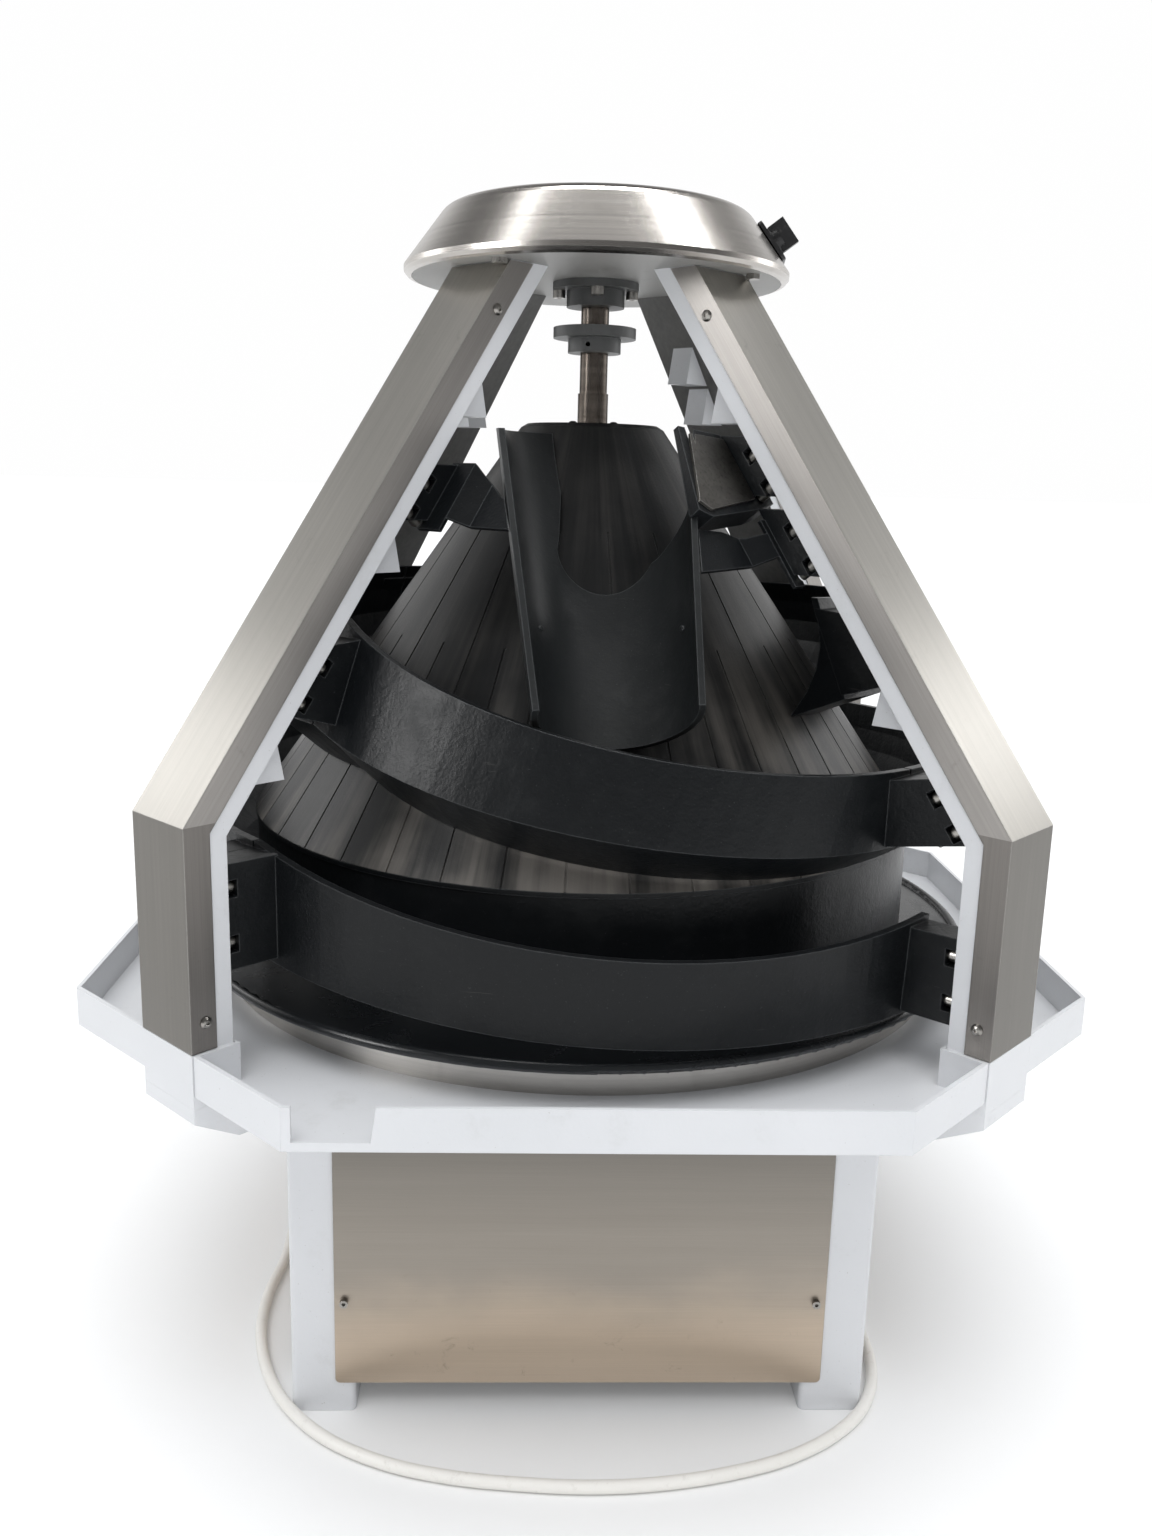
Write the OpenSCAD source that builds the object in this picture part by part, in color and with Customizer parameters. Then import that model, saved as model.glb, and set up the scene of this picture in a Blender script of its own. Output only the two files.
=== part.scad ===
// Conical dough rounder: a ribbed cone turns inside a fixed spiral of track castings.
// Millimetres. The origin is on the floor under the cone's axis, +Z is up, and the front is -Y.

/* [Base] */
// Width of the square base over its legs
base_w = 588; // [560:2:620]
// Height of the base frame, from the floor to the top of the legs
base_h = 380; // [360:5:420]
// Width of a leg tube
leg_w = 65; // [56:1:72]
// Wall of a leg tube
leg_wall = 4; // [3:0.5:6]
// Outer corner radius of a leg tube
leg_round = 6; // [4.5:0.5:10]
// Height of a frame rail
rail_h = 40; // [30:1:50]
// Depth of a frame rail
rail_d = 30; // [20:1:40]
// Height of the lower rails' top, which carries the drive plate
drive_z = 300; // [280:5:310]
// Thickness of a side panel
panel_t = 2; // [1:0.5:4]
// Height of a side panel's lower edge above the floor
panel_z = 34; // [20:1:60]
// Overlap of a side panel on a leg
panel_lap = 20; // [14:1:30]
// Corner radius of a side panel
panel_round = 5; // [2:1:10]
// Height of the lower panel screws
panel_screw_z = 127; // [90:1:200]
// Height of a support arm's outer end
arm_end_h = 14; // [10:1:20]
// Height of a support arm under the tray
arm_h = 26; // [22:1:40]
// Depth of the gusset under a support arm
gusset_h = 26; // [10:1:40]

/* [Tray] */
// Width of the tray across its long sides
tray_w = 1000; // [960:5:1100]
// Distance from the axis to the tray's corner sides
tray_diag = 535.5; // [525:0.5:545]
// Height of the tray's rim, sheet included
rim_h = 39; // [30:1:60]
// Thickness of the tray's rim
rim_t = 4; // [3:0.5:6]
// Thickness of the tray's floor
floor_t = 3; // [2:0.5:5]
// Width of the outlet cut in the front rim, at its foot
outlet_w = 64; // [50:1:100]
// Distance of the outlet from the rim's front left corner
outlet_in = 8; // [4:1:40]
// Height of the lip left in the outlet
outlet_lip = 8; // [5:1:14]
// Radius of the steel collar under the turning flange
collar_r = 404.5; // [390:0.5:415]
// Thickness of the steel collar
collar_t = 2; // [1.5:0.5:4]

/* [Columns] */
// Distance from the axis to a column's outer face below its knee
col_r = 536.7; // [528:0.1:545]
// Width of a column over its cover
col_w = 83.5; // [76:0.5:92]
// Depth of a column over its cover
col_d = 42.2; // [38:0.2:50]
// Wall of a column tube
col_wall = 4; // [3:0.5:6]
// Height of a column's knee above the tray's underside
knee_h = 242.7; // [225:0.1:260]
// Distance from the axis to a column's outer face at its top
col_top_r = 166.7; // [160:0.1:180]
// Height of the cap plate above the tray's underside
cap_h = 740; // [730:1:760]
// Thickness of a column cover
cover_t = 1.5; // [1:0.1:2.5]
// Depth of a column cover's sides
cover_d = 25.2; // [20:0.2:30]
// Distance of the cover screws from the column's outer face
cover_screw_in = 15; // [10:0.5:18]
// Height of the lower cover screws above the tray's underside
cover_screw_low = 66; // [55:1:100]
// Distance of the upper cover screws below the cap plate
cover_screw_top = 48; // [30:1:80]

/* [Cap] */
// Radius of the cap's lower edge
cap_r = 204; // [196:1:220]
// Radius of the cap's top
cap_top_r = 159; // [140:1:175]
// Height of the cap
cap_shell_h = 70; // [60:1:90]
// Thickness of the cap's sheet
cap_t = 2; // [1.5:0.5:3]
// Width of the cap's turned-in lower lip
cap_lip = 8; // [5:1:10]
// Thickness of the cap plate
cap_plate_t = 6; // [4:0.5:10]
// Radius of the top bearing's flange
top_flange_r = 46; // [42:1:60]
// Thickness of the top bearing's flange
top_flange_t = 8; // [6:1:20]
// Radius of the top bearing's housing
top_hub_r = 31; // [28:0.5:34]
// Depth of the top bearing's housing below its flange
top_hub_h = 17; // [14:1:28]
// Direction of the switch from the axis
switch_az = -8; // [-20:1:5]
// Side of the switch's plate
switch_w = 46; // [40:1:50]
// Length of the switch's knob
knob_l = 30; // [22:1:36]

/* [Cone] */
// Radius of the cone's lower edge
cone_r = 368; // [360:1:372]
// Radius of the cone's top
cone_top_r = 75; // [66:1:80]
// Height of the cone
cone_h = 415; // [410:1:430]
// Height of the cone's lower edge above the tray's underside
cone_up = 178; // [172:1:182]
// Wall of the cone, measured level
cone_wall = 9; // [6:0.5:14]
// Count of the grooves along the cone
groove_n = 40; // [20:2:60]
// Width of a groove
groove_w = 2; // [1:0.5:4]
// Depth of a groove
groove_d = 1.2; // [0.6:0.2:3]
// Length of every second groove, along the cone
groove_long = 375; // [250:5:400]
// Length of the grooves between them
groove_short = 240; // [120:5:300]
// Radius of the turning flange
flange_r = 437.5; // [425:0.5:440]
// Thickness of the turning flange
flange_t = 5; // [3:0.5:8]
// Radius of the rolled bead on the flange's edge
flange_bead = 5; // [3:0.5:6]
// Thickness of the drum's band under the cone
drum_t = 4; // [3:0.5:6]
// Clearance between the flange and what lies under it
flange_gap = 3; // [2:0.5:6]

/* [Shaft and drive] */
// Diameter of the main shaft in the cone
shaft_d = 33; // [28:1:38]
// Diameter of the main shaft's upper end
shaft_top_d = 30; // [24:1:32]
// Height of the step between them above the cone's top
shaft_step = 33; // [10:1:50]
// Diameter of the height collar
hcollar_d = 89; // [80:1:110]
// Thickness of the height collar's disc
hcollar_t = 11; // [8:1:20]
// Diameter of the height collar's hub
hcollar_hub_d = 57; // [50:1:70]
// Height of the height collar's hub
hcollar_hub_h = 15; // [12:1:24]
// Distance from the cone's top to the height collar's hub
hcollar_up = 75; // [60:1:80]
// Pitch diameter of the driven pulley
pulley_d = 260; // [220:5:280]
// Pitch diameter of the motor pulley
motor_pulley_d = 75; // [65:1:90]
// Distance between the pulleys' axes
centre_d = 198; // [190:1:210]
// Direction of the motor from the axis
motor_az = 45; // [35:1:55]
// Diameter of the motor
motor_d = 140; // [120:2:150]
// Length of the gear motor below the drive plate
motor_l = 220; // [180:5:240]
// Radial running clearance of shafts in their bearings
run_gap = 0.05; // [0.02:0.01:0.1]
// Width of a drive belt at its back
belt_w = 12.7; // [10:0.1:14]
// Height of a drive belt
belt_h = 9; // [8:0.5:10]

/* [Tracks] */
// Clearance between the tracks and the cone
track_gap = 2.5; // [1.5:0.5:6]
// Thickness of a track's upper edge
track_edge = 8; // [6:0.5:12]
// Width of a track's foot on a column
foot_w = 33; // [28:1:38]
// Diameter of a track stud
stud_d = 10; // [8:1:12]
// Diameter of a track stud's shoulder
shoulder_d = 13; // [12:0.5:15]

/* [Chute] */
// Radius of the chute at its outlet
chute_r = 75.5; // [68:0.5:82]
// Growth of the chute's radius per millimetre of length
chute_taper = 0.06; // [0:0.01:0.1]
// Length of the chute along its back line
chute_l = 385; // [360:5:400]
// Height of the chute's upper edge above the cone's lower edge
chute_top_up = 403; // [395:1:412]
// Angle of the chute from upright
chute_tilt = 40.5; // [36:0.5:44]
// Wall of the chute
chute_wall = 6; // [4:0.5:9]
// Height of the chute's straight sides
chute_side = 14; // [6:1:24]
// Distance of the chute's outlet in front of the axis
chute_out = 306; // [300:1:312]
// Height of the chute's outlet above the cone's lower edge
chute_up = 115; // [112:1:125]

/* [Cable] */
// Diameter of the supply cable
cable_d = 12.5; // [10:0.5:14]
// Turns of the put-away coil
coil_turns = 4.25; // [3.25:1:6.25]
// Middle radius of the coil's turns
coil_r = 70; // [64:1:80]
// Height of the cable gland above the floor
gland_z = 95; // [90:1:100]

/* [Hidden] */
$fn = 72;

white = [0.86, 0.88, 0.9];
steel = [0.7, 0.69, 0.67];
black = [0.1, 0.11, 0.12];
grey = [0.45, 0.46, 0.47];
cream = [0.88, 0.85, 0.78];
eps = 0.01;
fit = 0.3;

// Heights
tray_z = base_h + arm_h;
rim_z = tray_z + rim_h;
knee_z = tray_z + knee_h;
cap_z = tray_z + cap_h;
cone_z = tray_z + cone_up;
cone_top = cone_z + cone_h;
flange_z = tray_z + 37;
collar_top = flange_z - flange_gap;

// Columns: the angle of the upper part, and lines at a depth behind the outer face
lean = atan((col_r - col_top_r) / (cap_z - knee_z));
function line_knee(off) = knee_z - off * tan(lean / 2);
function line_top(off) = col_r - off - (cap_z - line_knee(off)) * tan(lean);
function line_r(off, z) = z < line_knee(off) ? col_r - off : col_r - off - (z - line_knee(off)) * tan(lean);
function face_r(z) = line_r(col_d, z);
FRONT_LEFT = 225;
FRONT_RIGHT = 315;
BACK_RIGHT = 45;
BACK_LEFT = 135;
CORNERS = [FRONT_LEFT, FRONT_RIGHT, BACK_RIGHT, BACK_LEFT];
tube_w = col_w - 2 * cover_t - 0.2;
tube_off = cover_t + 0.2;

// Cone: its radius at a height, and its slope
slope = (cone_r - cone_top_r) / cone_h;
cone_lean = atan(slope);
function cone_at(z) = z < cone_z ? cone_r : cone_r - slope * (z - cone_z);

function lerp(a, b, t) = a + (b - a) * t;
function tray_corner() = tray_diag * sqrt(2) - tray_w / 2;
function octagon(s, e) = [[-e, -s], [e, -s], [s, -e], [s, e], [e, s], [-e, s], [-s, e], [-s, -e]];
function inset_corner(inset) = (tray_diag - inset) * sqrt(2) - (tray_w / 2 - inset);

// A plate in the plane of a column: its outline is given as radius and height
module radial_plate(az, t0, t1) {
    rotate([0, 0, az]) translate([0, t1, 0]) rotate([90, 0, 0]) linear_extrude(t1 - t0) children();
}

module round_square(w, r) {
    square([w - 2 * r, w], center = true);
    square([w, w - 2 * r], center = true);
    for (x = [-1, 1], y = [-1, 1]) translate([x * (w / 2 - r), y * (w / 2 - r)]) circle(r);
}

module round_plate(w, h, r) {
    square([w - 2 * r, h], center = true);
    square([w, h - 2 * r], center = true);
    for (x = [-1, 1], y = [-1, 1]) translate([x * (w / 2 - r), y * (h / 2 - r)]) circle(r);
}

// A socket screw standing on its head's seat, with its shank down -Z
module cap_screw(d, head_d, head_h, shank) {
    difference() {
        cylinder(d = head_d, h = head_h);
        translate([0, 0, head_h * 0.45]) cylinder(d = d * 0.8, h = head_h, $fn = 6);
    }
    translate([0, 0, -shank]) cylinder(d = d, h = shank + eps);
}

// A button head screw
module button_screw(d, head_d, head_h, shank) {
    difference() {
        rotate_extrude() polygon([[0, 0], [head_d / 2, 0], [head_d / 2, head_h * 0.3],
            [head_d * 0.36, head_h * 0.8], [head_d * 0.2, head_h], [0, head_h]]);
        translate([0, 0, head_h * 0.5]) cylinder(d = d * 0.65, h = head_h, $fn = 6);
    }
    translate([0, 0, -shank]) cylinder(d = d, h = shank + eps);
}

// A hexagon bolt
module hex_bolt(d, shank) {
    cylinder(d = d * 1.85, h = d * 0.64, $fn = 6);
    translate([0, 0, -shank]) cylinder(d = d, h = shank + eps);
}

// Base: legs, rails and panels
leg_at = base_w / 2 - leg_w / 2;
panel_w = base_w - 2 * leg_w + 2 * panel_lap;
panel_top = base_h - 4;
panel_screw_x = panel_w / 2 - 10;
panel_screw_d = 5;
PANEL_SCREW_Z = [panel_screw_z, panel_top - 26];
SIDES = [270, 90, 180, 0];

module at_panel_screws(az) {
    for (x = [-1, 1], z = PANEL_SCREW_Z)
        rotate([0, 0, az + 90]) translate([x * panel_screw_x, -base_w / 2, z]) rotate([90, 0, 0]) children();
}

module leg(x, y) {
    color(white) difference() {
        translate([x * leg_at, y * leg_at, 0]) difference() {
            linear_extrude(base_h) round_square(leg_w, leg_round);
            translate([0, 0, leg_wall]) linear_extrude(base_h)
                round_square(leg_w - 2 * leg_wall, leg_round - leg_wall + 1);
        }
        for (az = SIDES) at_panel_screws(az) translate([0, 0, -leg_wall - 1])
            cylinder(d = panel_screw_d + 0.2, h = leg_wall + 2);
    }
}

module frame_rails() {
    rail_l = base_w - 2 * leg_w;
    color(white) for (az = SIDES, z = [base_h - rail_h, drive_z - rail_h])
        rotate([0, 0, az]) translate([base_w / 2 - leg_w + leg_wall, -rail_l / 2, z])
            cube([rail_d, rail_l, rail_h]);
}

module panel(az) {
    color(steel) difference() {
        rotate([0, 0, az + 90]) translate([0, -base_w / 2, (panel_z + panel_top) / 2])
            rotate([90, 0, 0]) linear_extrude(panel_t) round_plate(panel_w, panel_top - panel_z, panel_round);
        at_panel_screws(az) translate([0, 0, -1]) cylinder(d = panel_screw_d + 0.4, h = panel_t + 2);
        if (az == 90) gland_place() translate([0, 0, -panel_t - 1]) cylinder(d = gland_d + 0.4, h = panel_t + 2);
    }
}

module panel_screws() {
    color(steel) for (az = SIDES) at_panel_screws(az)
        translate([0, 0, panel_t]) cap_screw(panel_screw_d, 8.5, 5, panel_t + leg_wall);
}

// Drive: plate, lower bearing, gear motor, belts and pulleys
plate_t = 8;
bolt_d = 10;
motor_xy = centre_d * [cos(motor_az), sin(motor_az)];
plate_side = base_w - 2 * leg_w;
lower_flange_r = 62;
lower_flange_t = 12;
lower_hub_r = 40;
lower_hub_h = 32;
bearing_pcd = 100;
gear_pcd = 100;
belt_pitch = 15;
belt_z = drive_z + plate_t + 30;
pulley_h = 2 * belt_pitch + 10;
BELT_Z = [belt_z + pulley_h / 2 - belt_pitch / 2, belt_z + pulley_h / 2 + belt_pitch / 2];
belt_in = belt_w - 2 * belt_h * tan(18);

module at_drive_bolts() {
    for (a = CORNERS) rotate([0, 0, a]) translate([bearing_pcd / 2, 0, lower_flange_t + fit / 10]) children();
    for (a = [45 : 90 : 315]) translate(motor_xy) rotate([0, 0, a])
        translate([gear_pcd / 2, 0, 0]) children();
    for (x = [-1, 1], y = [-1, 1]) translate([x * plate_bolt_at, y * (plate_side / 2 - 60), 0]) children();
}
plate_bolt_at = plate_side / 2 + leg_wall + rail_d / 2 - 2;

module drive_plate() {
    color(grey) translate([0, 0, drive_z]) difference() {
        union() {
            translate([-plate_side / 2, -plate_side / 2, 0]) cube([plate_side, plate_side, plate_t]);
            for (x = [-1, 1], y = [-1, 1])
                translate([x * (plate_side / 2 + 10), y * (plate_side / 2 - 60), plate_t / 2])
                    cube([28, 60, plate_t], center = true);
        }
        translate([0, 0, -1]) cylinder(r = shaft_d / 2 + 4, h = plate_t + 2);
        translate([motor_xy[0], motor_xy[1], -1]) cylinder(r = 36, h = plate_t + 2);
        translate([0, 0, plate_t - 40]) at_drive_bolts() translate([0, 0, -20]) cylinder(d = bolt_d + 0.6, h = 80);
    }
}

module drive_bolts() {
    color(steel) translate([0, 0, drive_z + plate_t]) {
        for (a = CORNERS) rotate([0, 0, a]) translate([bearing_pcd / 2, 0, lower_flange_t])
            hex_bolt(bolt_d, lower_flange_t + plate_t + 4);
        for (a = [45 : 90 : 315]) translate(motor_xy) rotate([0, 0, a]) translate([gear_pcd / 2, 0, 0])
            hex_bolt(bolt_d, plate_t);
        for (x = [-1, 1], y = [-1, 1]) translate([x * plate_bolt_at, y * (plate_side / 2 - 60), 0])
            hex_bolt(bolt_d, plate_t);
    }
}

module lower_bearing() {
    color(grey) translate([0, 0, drive_z + plate_t]) difference() {
        union() {
            cylinder(r = lower_flange_r, h = lower_flange_t);
            cylinder(r = lower_hub_r, h = lower_hub_h - 6);
        }
        translate([0, 0, -1]) cylinder(d = shaft_d + 2 * run_gap, h = lower_hub_h + 2);
        for (a = CORNERS) rotate([0, 0, a]) translate([bearing_pcd / 2, 0, -1])
            cylinder(d = bolt_d + 0.6, h = lower_flange_t + 2);
    }
}

module gear_motor() {
    head_h = 70;
    shaft_r = motor_shaft_d / 2;
    color(grey) translate([motor_xy[0], motor_xy[1], drive_z]) difference() {
        union() {
            translate([0, 0, -12]) cylinder(r = 62, h = 12);
            translate([0, 0, -head_h]) cylinder(d = motor_d - 20, h = head_h);
            translate([0, 0, -motor_l]) cylinder(d = motor_d - 12, h = motor_l - head_h);
            for (z = [-motor_l + 16 : 10 : -head_h - 24]) translate([0, 0, z]) cylinder(d = motor_d, h = 4);
            rotate([0, 0, motor_az]) translate([motor_d / 2 - 20, -35, -head_h - 75]) cube([42, 70, 60]);
        }
        translate([0, 0, -head_h + 4]) cylinder(r = shaft_r + run_gap, h = head_h);
        for (a = [45 : 90 : 315]) rotate([0, 0, a]) translate([gear_pcd / 2, 0, -12 - eps])
            cylinder(d = bolt_d + 0.6, h = 14);
    }
}

motor_shaft_d = 28;
groove_out = belt_w / 2 + 1.6;

// Outline of a two groove pulley: half section from its axis
function pulley_groove(r, zc) = [
    [r, zc - belt_w / 2 - fit], [r - belt_h - 1, zc - belt_in / 2 - fit],
    [r - belt_h - 1, zc + belt_in / 2 + fit], [r, zc + belt_w / 2 + fit]];

module pulley(d, bore, hub_r) {
    r = d / 2 + 2;
    difference() {
        rotate_extrude() polygon(concat([[0, belt_z], [r, belt_z]],
            pulley_groove(r, BELT_Z[0]), pulley_groove(r, BELT_Z[1]),
            [[r, belt_z + pulley_h], [hub_r, belt_z + pulley_h], [hub_r, belt_z + pulley_h + 8],
             [0, belt_z + pulley_h + 8]]));
        translate([0, 0, belt_z - 1]) cylinder(d = bore + 0.1, h = pulley_h + 12);
    }
}

module driven_pulley() {
    color(grey) difference() {
        pulley(pulley_d, shaft_d, 36);
        for (a = [0 : 60 : 300]) rotate([0, 0, a]) translate([pulley_d * 0.29, 0, belt_z - 1])
            cylinder(d = pulley_d * 0.16, h = pulley_h + 2);
        for (s = [-1, 1]) translate([0, 0, s > 0 ? belt_z + pulley_h - 12 : belt_z - 1]) difference() {
            cylinder(r = pulley_d / 2 - 18, h = 13);
            translate([0, 0, -1]) cylinder(r = 36, h = 15);
        }
    }
}

module motor_pulley() {
    color(steel) translate(concat(motor_xy, 0)) {
        pulley(motor_pulley_d, motor_shaft_d, 22);
        translate([0, 0, drive_z - 60]) cylinder(d = motor_shaft_d, h = belt_z + pulley_h + 4 - drive_z + 60);
    }
}

// One belt loop: the hull of its two bends, less the same at its inner face
module belt_loop(ra, rb, h) {
    linear_extrude(h, center = true) difference() {
        hull() {
            circle(ra, $fn = 96);
            translate(motor_xy) circle(rb, $fn = 96);
        }
        hull() {
            circle(ra - belt_h, $fn = 96);
            translate(motor_xy) circle(rb - belt_h, $fn = 96);
        }
    }
}

module drive_belts() {
    color(black) for (z = BELT_Z) translate([0, 0, z])
        belt_loop(pulley_d / 2 + 2, motor_pulley_d / 2 + 2, belt_in);
}

// Tray, with a pocket for each column and the outlet in the front rim
pocket_w = col_w + 1;
pocket_plate = 3;
pocket_in = col_r - col_d - 1;

module tray() {
    s = tray_w / 2;
    e = tray_corner();
    outlet_x = -e + outlet_in;
    color(white) difference() {
        translate([0, 0, tray_z]) union() {
            linear_extrude(floor_t) polygon(octagon(s, e));
            linear_extrude(rim_h) difference() {
                polygon(octagon(s, e));
                polygon(octagon(s - rim_t, inset_corner(rim_t)));
            }
            for (a = CORNERS) rotate([0, 0, a])
                translate([pocket_in - pocket_plate, -pocket_w / 2 - pocket_plate, 0])
                    cube([tray_diag - rim_t - pocket_in + pocket_plate + 1, pocket_w + 2 * pocket_plate, rim_h]);
        }
        for (a = CORNERS) rotate([0, 0, a]) translate([pocket_in, -pocket_w / 2, tray_z - 1])
            cube([tray_diag, pocket_w, rim_h + 2]);
        translate([0, 0, tray_z - 1]) cylinder(r = 48, h = floor_t + 2);
        translate([0, -s + rim_t + 1, tray_z + outlet_lip]) rotate([90, 0, 0]) linear_extrude(rim_t + 2)
            polygon([[outlet_x, 0], [outlet_x + outlet_w, 0], [outlet_x + outlet_w + rim_h * 0.14, rim_h],
                [outlet_x, rim_h]]);
    }
}

module support_arms() {
    arm_t = 6;
    arm_in = 250;
    corner_out = base_w / 2 * sqrt(2) + 1;
    foot_in = col_r - col_d - 2;
    end_z = base_h + arm_end_h;
    low_z = base_h - gusset_h;
    color(white) for (a = CORNERS) {
        for (t = [-col_w / 2, col_w / 2 - arm_t]) radial_plate(a, t, t + arm_t)
            polygon([[arm_in, base_h], [corner_out, base_h], [corner_out, low_z],
                [foot_in, low_z], [col_r, base_h], [col_r, end_z], [foot_in, end_z],
                [foot_in, tray_z], [arm_in, tray_z]]);
        radial_plate(a, -col_w / 2, col_w / 2) polygon([[foot_in, end_z - arm_t], [col_r - arm_t, end_z - arm_t],
            [col_r - arm_t, base_h - 3], [col_r, base_h], [col_r, end_z], [foot_in, end_z]]);
        for (p = [[arm_in, corner_out, base_h], [corner_out, foot_in, low_z], [arm_in, foot_in, tray_z - arm_t]])
            radial_plate(a, -col_w / 2, col_w / 2)
                translate([p[0], p[2]]) square([p[1] - p[0], arm_t]);
    }
}

module collar_ring() {
    color(steel) translate([0, 0, tray_z + floor_t]) difference() {
        cylinder(r = collar_r, h = collar_top - tray_z - floor_t);
        translate([0, 0, -1]) cylinder(r = collar_r - collar_t, h = 100);
    }
}

// Columns: white bent tubes with stainless covers outside
foot_z = base_h + arm_end_h;
cover_z = rim_z + 0.5;
cover_top = cap_z - 1;
COVER_SCREWS = [tray_z + cover_screw_low, cap_z - cover_screw_top];
cover_screw_d = 6;

function column_outline(a, b, z0, z1) = [
    [line_r(a, z0), z0], [line_r(a, z0), line_knee(a)], [line_r(a, z1), z1],
    [line_r(b, z1), z1], [line_r(b, z0), line_knee(b)], [line_r(b, z0), z0]];

module at_cover_screws(az) {
    for (z = COVER_SCREWS, s = [-1, 1]) rotate([0, 0, az])
        translate([line_r(cover_screw_in, z), s * col_w / 2, z]) rotate([-90 * s, 0, 0]) children();
}

// Wedges are welded to each column's inner face, between the feet of the tracks; a list holds the
// edge across the column at which they begin, and the heights of their lower faces
lug_w = 28;
lug_d = 40;
LUGS_LEFT = [0.6, cone_z + 88, cone_z + 268, cap_z - 148];
LUGS_RIGHT = [-lug_w - 0.6, cone_z + 142, cap_z - 148];
LUGS_BACK_LEFT = [-lug_w / 2, cone_z + 106, cap_z - 148];
LUGS_BACK_RIGHT = [-lug_w / 2, cone_z + 106, cap_z - 138, cap_z - 94];

module lug(az, t0, z) {
    rise = lug_d / (tan(lean) + 0.2);
    r0 = face_r(z);
    radial_plate(az, t0, t0 + lug_w) polygon([[r0 + col_wall / 2, z], [r0 - lug_d, z],
        [r0 - lug_d + 0.2 * rise, z + rise], [face_r(z + rise) + col_wall / 2, z + rise]]);
}

module column(az, lugs) {
    color(white) difference() {
        union() {
            radial_plate(az, -tube_w / 2, tube_w / 2) polygon(column_outline(tube_off, col_d, foot_z, cap_z));
            radial_plate(az, -col_w / 2, col_w / 2) polygon([[col_r, foot_z], [col_r, rim_z],
                [col_r - col_d, rim_z], [col_r - col_d, foot_z]]);
            for (i = [1 : len(lugs) - 1]) lug(az, lugs[0], lugs[i]);
        }
        radial_plate(az, -tube_w / 2 + col_wall, tube_w / 2 - col_wall)
            polygon(column_outline(tube_off + col_wall, col_d - col_wall, foot_z - 1, cap_z + 0.5));
        at_cover_screws(az) translate([0, 0, -col_wall - cover_t - 2])
            cylinder(d = cover_screw_d + 0.2, h = col_wall + cover_t + 3);
    }
}

module column_covers() {
    color(steel) for (az = CORNERS) difference() {
        radial_plate(az, -col_w / 2, col_w / 2) polygon(column_outline(0, cover_d, cover_z, cover_top));
        radial_plate(az, -col_w / 2 + cover_t, col_w / 2 - cover_t)
            polygon(column_outline(cover_t, cover_d + 5, cover_z - 2, cover_top + 0.9));
        at_cover_screws(az) translate([0, 0, -cover_t - 1]) cylinder(d = cover_screw_d + 0.4, h = cover_t + 2);
    }
}

module cover_screws() {
    color(steel) for (az = CORNERS) at_cover_screws(az) button_screw(cover_screw_d, 11, 3.3, col_wall + cover_t);
}

// Cap: plate, shell, bearing and switch
cap_lip_r = cap_r - cap_lip;
plate_r = cap_lip_r - fit;
cap_edge = 10;
cap_slope = atan((cap_r - cap_top_r) / (cap_shell_h - cap_edge));
cap_top_z = cap_z + cap_shell_h;
top_screw_pcd = 78;
CAP_BOLT_AZ = [-33, 57, 147, 237];
cap_bolt_in = 14;

module cap_plate() {
    color(white) translate([0, 0, cap_z]) difference() {
        cylinder(r = plate_r, h = cap_plate_t);
        translate([0, 0, -1]) cylinder(r = 22, h = cap_plate_t + 2);
        for (a = CORNERS) rotate([0, 0, a + 45]) translate([top_screw_pcd / 2, 0, -1])
            cylinder(d = 8.4, h = cap_plate_t + 2);
        for (a = CAP_BOLT_AZ) rotate([0, 0, a]) translate([plate_r - cap_bolt_in, 0, -1])
            cylinder(d = 8.4, h = cap_plate_t + 2);
    }
}

// The spun cap: a cone with a rounded top edge, a rolled lower edge and a turned-in lip
module cap_shell() {
    round_top = 11;
    ring_z = cap_z + cap_plate_t;
    corner = [cap_top_r, cap_top_z];
    below = corner + round_top * [sin(cap_slope), -cos(cap_slope)];
    inside = corner - [round_top, 0];
    color(steel) difference() {
        rotate_extrude($fn = 180) polygon(concat(
            [[cap_lip_r, cap_z], [cap_r - 3, cap_z + 1.5], [cap_r, cap_z + 5], [cap_r, cap_z + cap_edge]],
            [for (i = [0 : 5]) bezier(below, corner, inside, i / 5)],
            [[0, cap_top_z], [0, cap_top_z - cap_t], [inside[0], cap_top_z - cap_t],
             [below[0] - 1.4 * cap_t, below[1]], [cap_r - 1.3 * cap_t, cap_z + cap_edge],
             [cap_r - 1.3 * cap_t, cap_z + 6], [cap_lip_r, cap_z + 2]]));
        switch_place() translate([0, 0, -12]) cylinder(d = 23, h = 24);
    }
    color(steel) for (a = CAP_BOLT_AZ) rotate([0, 0, a]) difference() {
        translate([plate_r - cap_bolt_in - 9, -9, ring_z]) cube([cap_r - plate_r + cap_bolt_in + 7.5, 18, 3]);
        translate([plate_r - cap_bolt_in, 0, ring_z - 1]) cylinder(d = 8.4, h = 5);
    }
}

module cap_screws() {
    color(grey) {
        for (a = CORNERS) rotate([0, 0, a + 45]) translate([top_screw_pcd / 2, 0, cap_z - top_flange_t])
            rotate([180, 0, 0]) cap_screw(8, 13, 8, top_flange_t + cap_plate_t);
        for (a = CAP_BOLT_AZ) rotate([0, 0, a]) translate([plate_r - cap_bolt_in, 0, cap_z])
            rotate([180, 0, 0]) hex_bolt(8, cap_plate_t + 3);
    }
}

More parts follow.
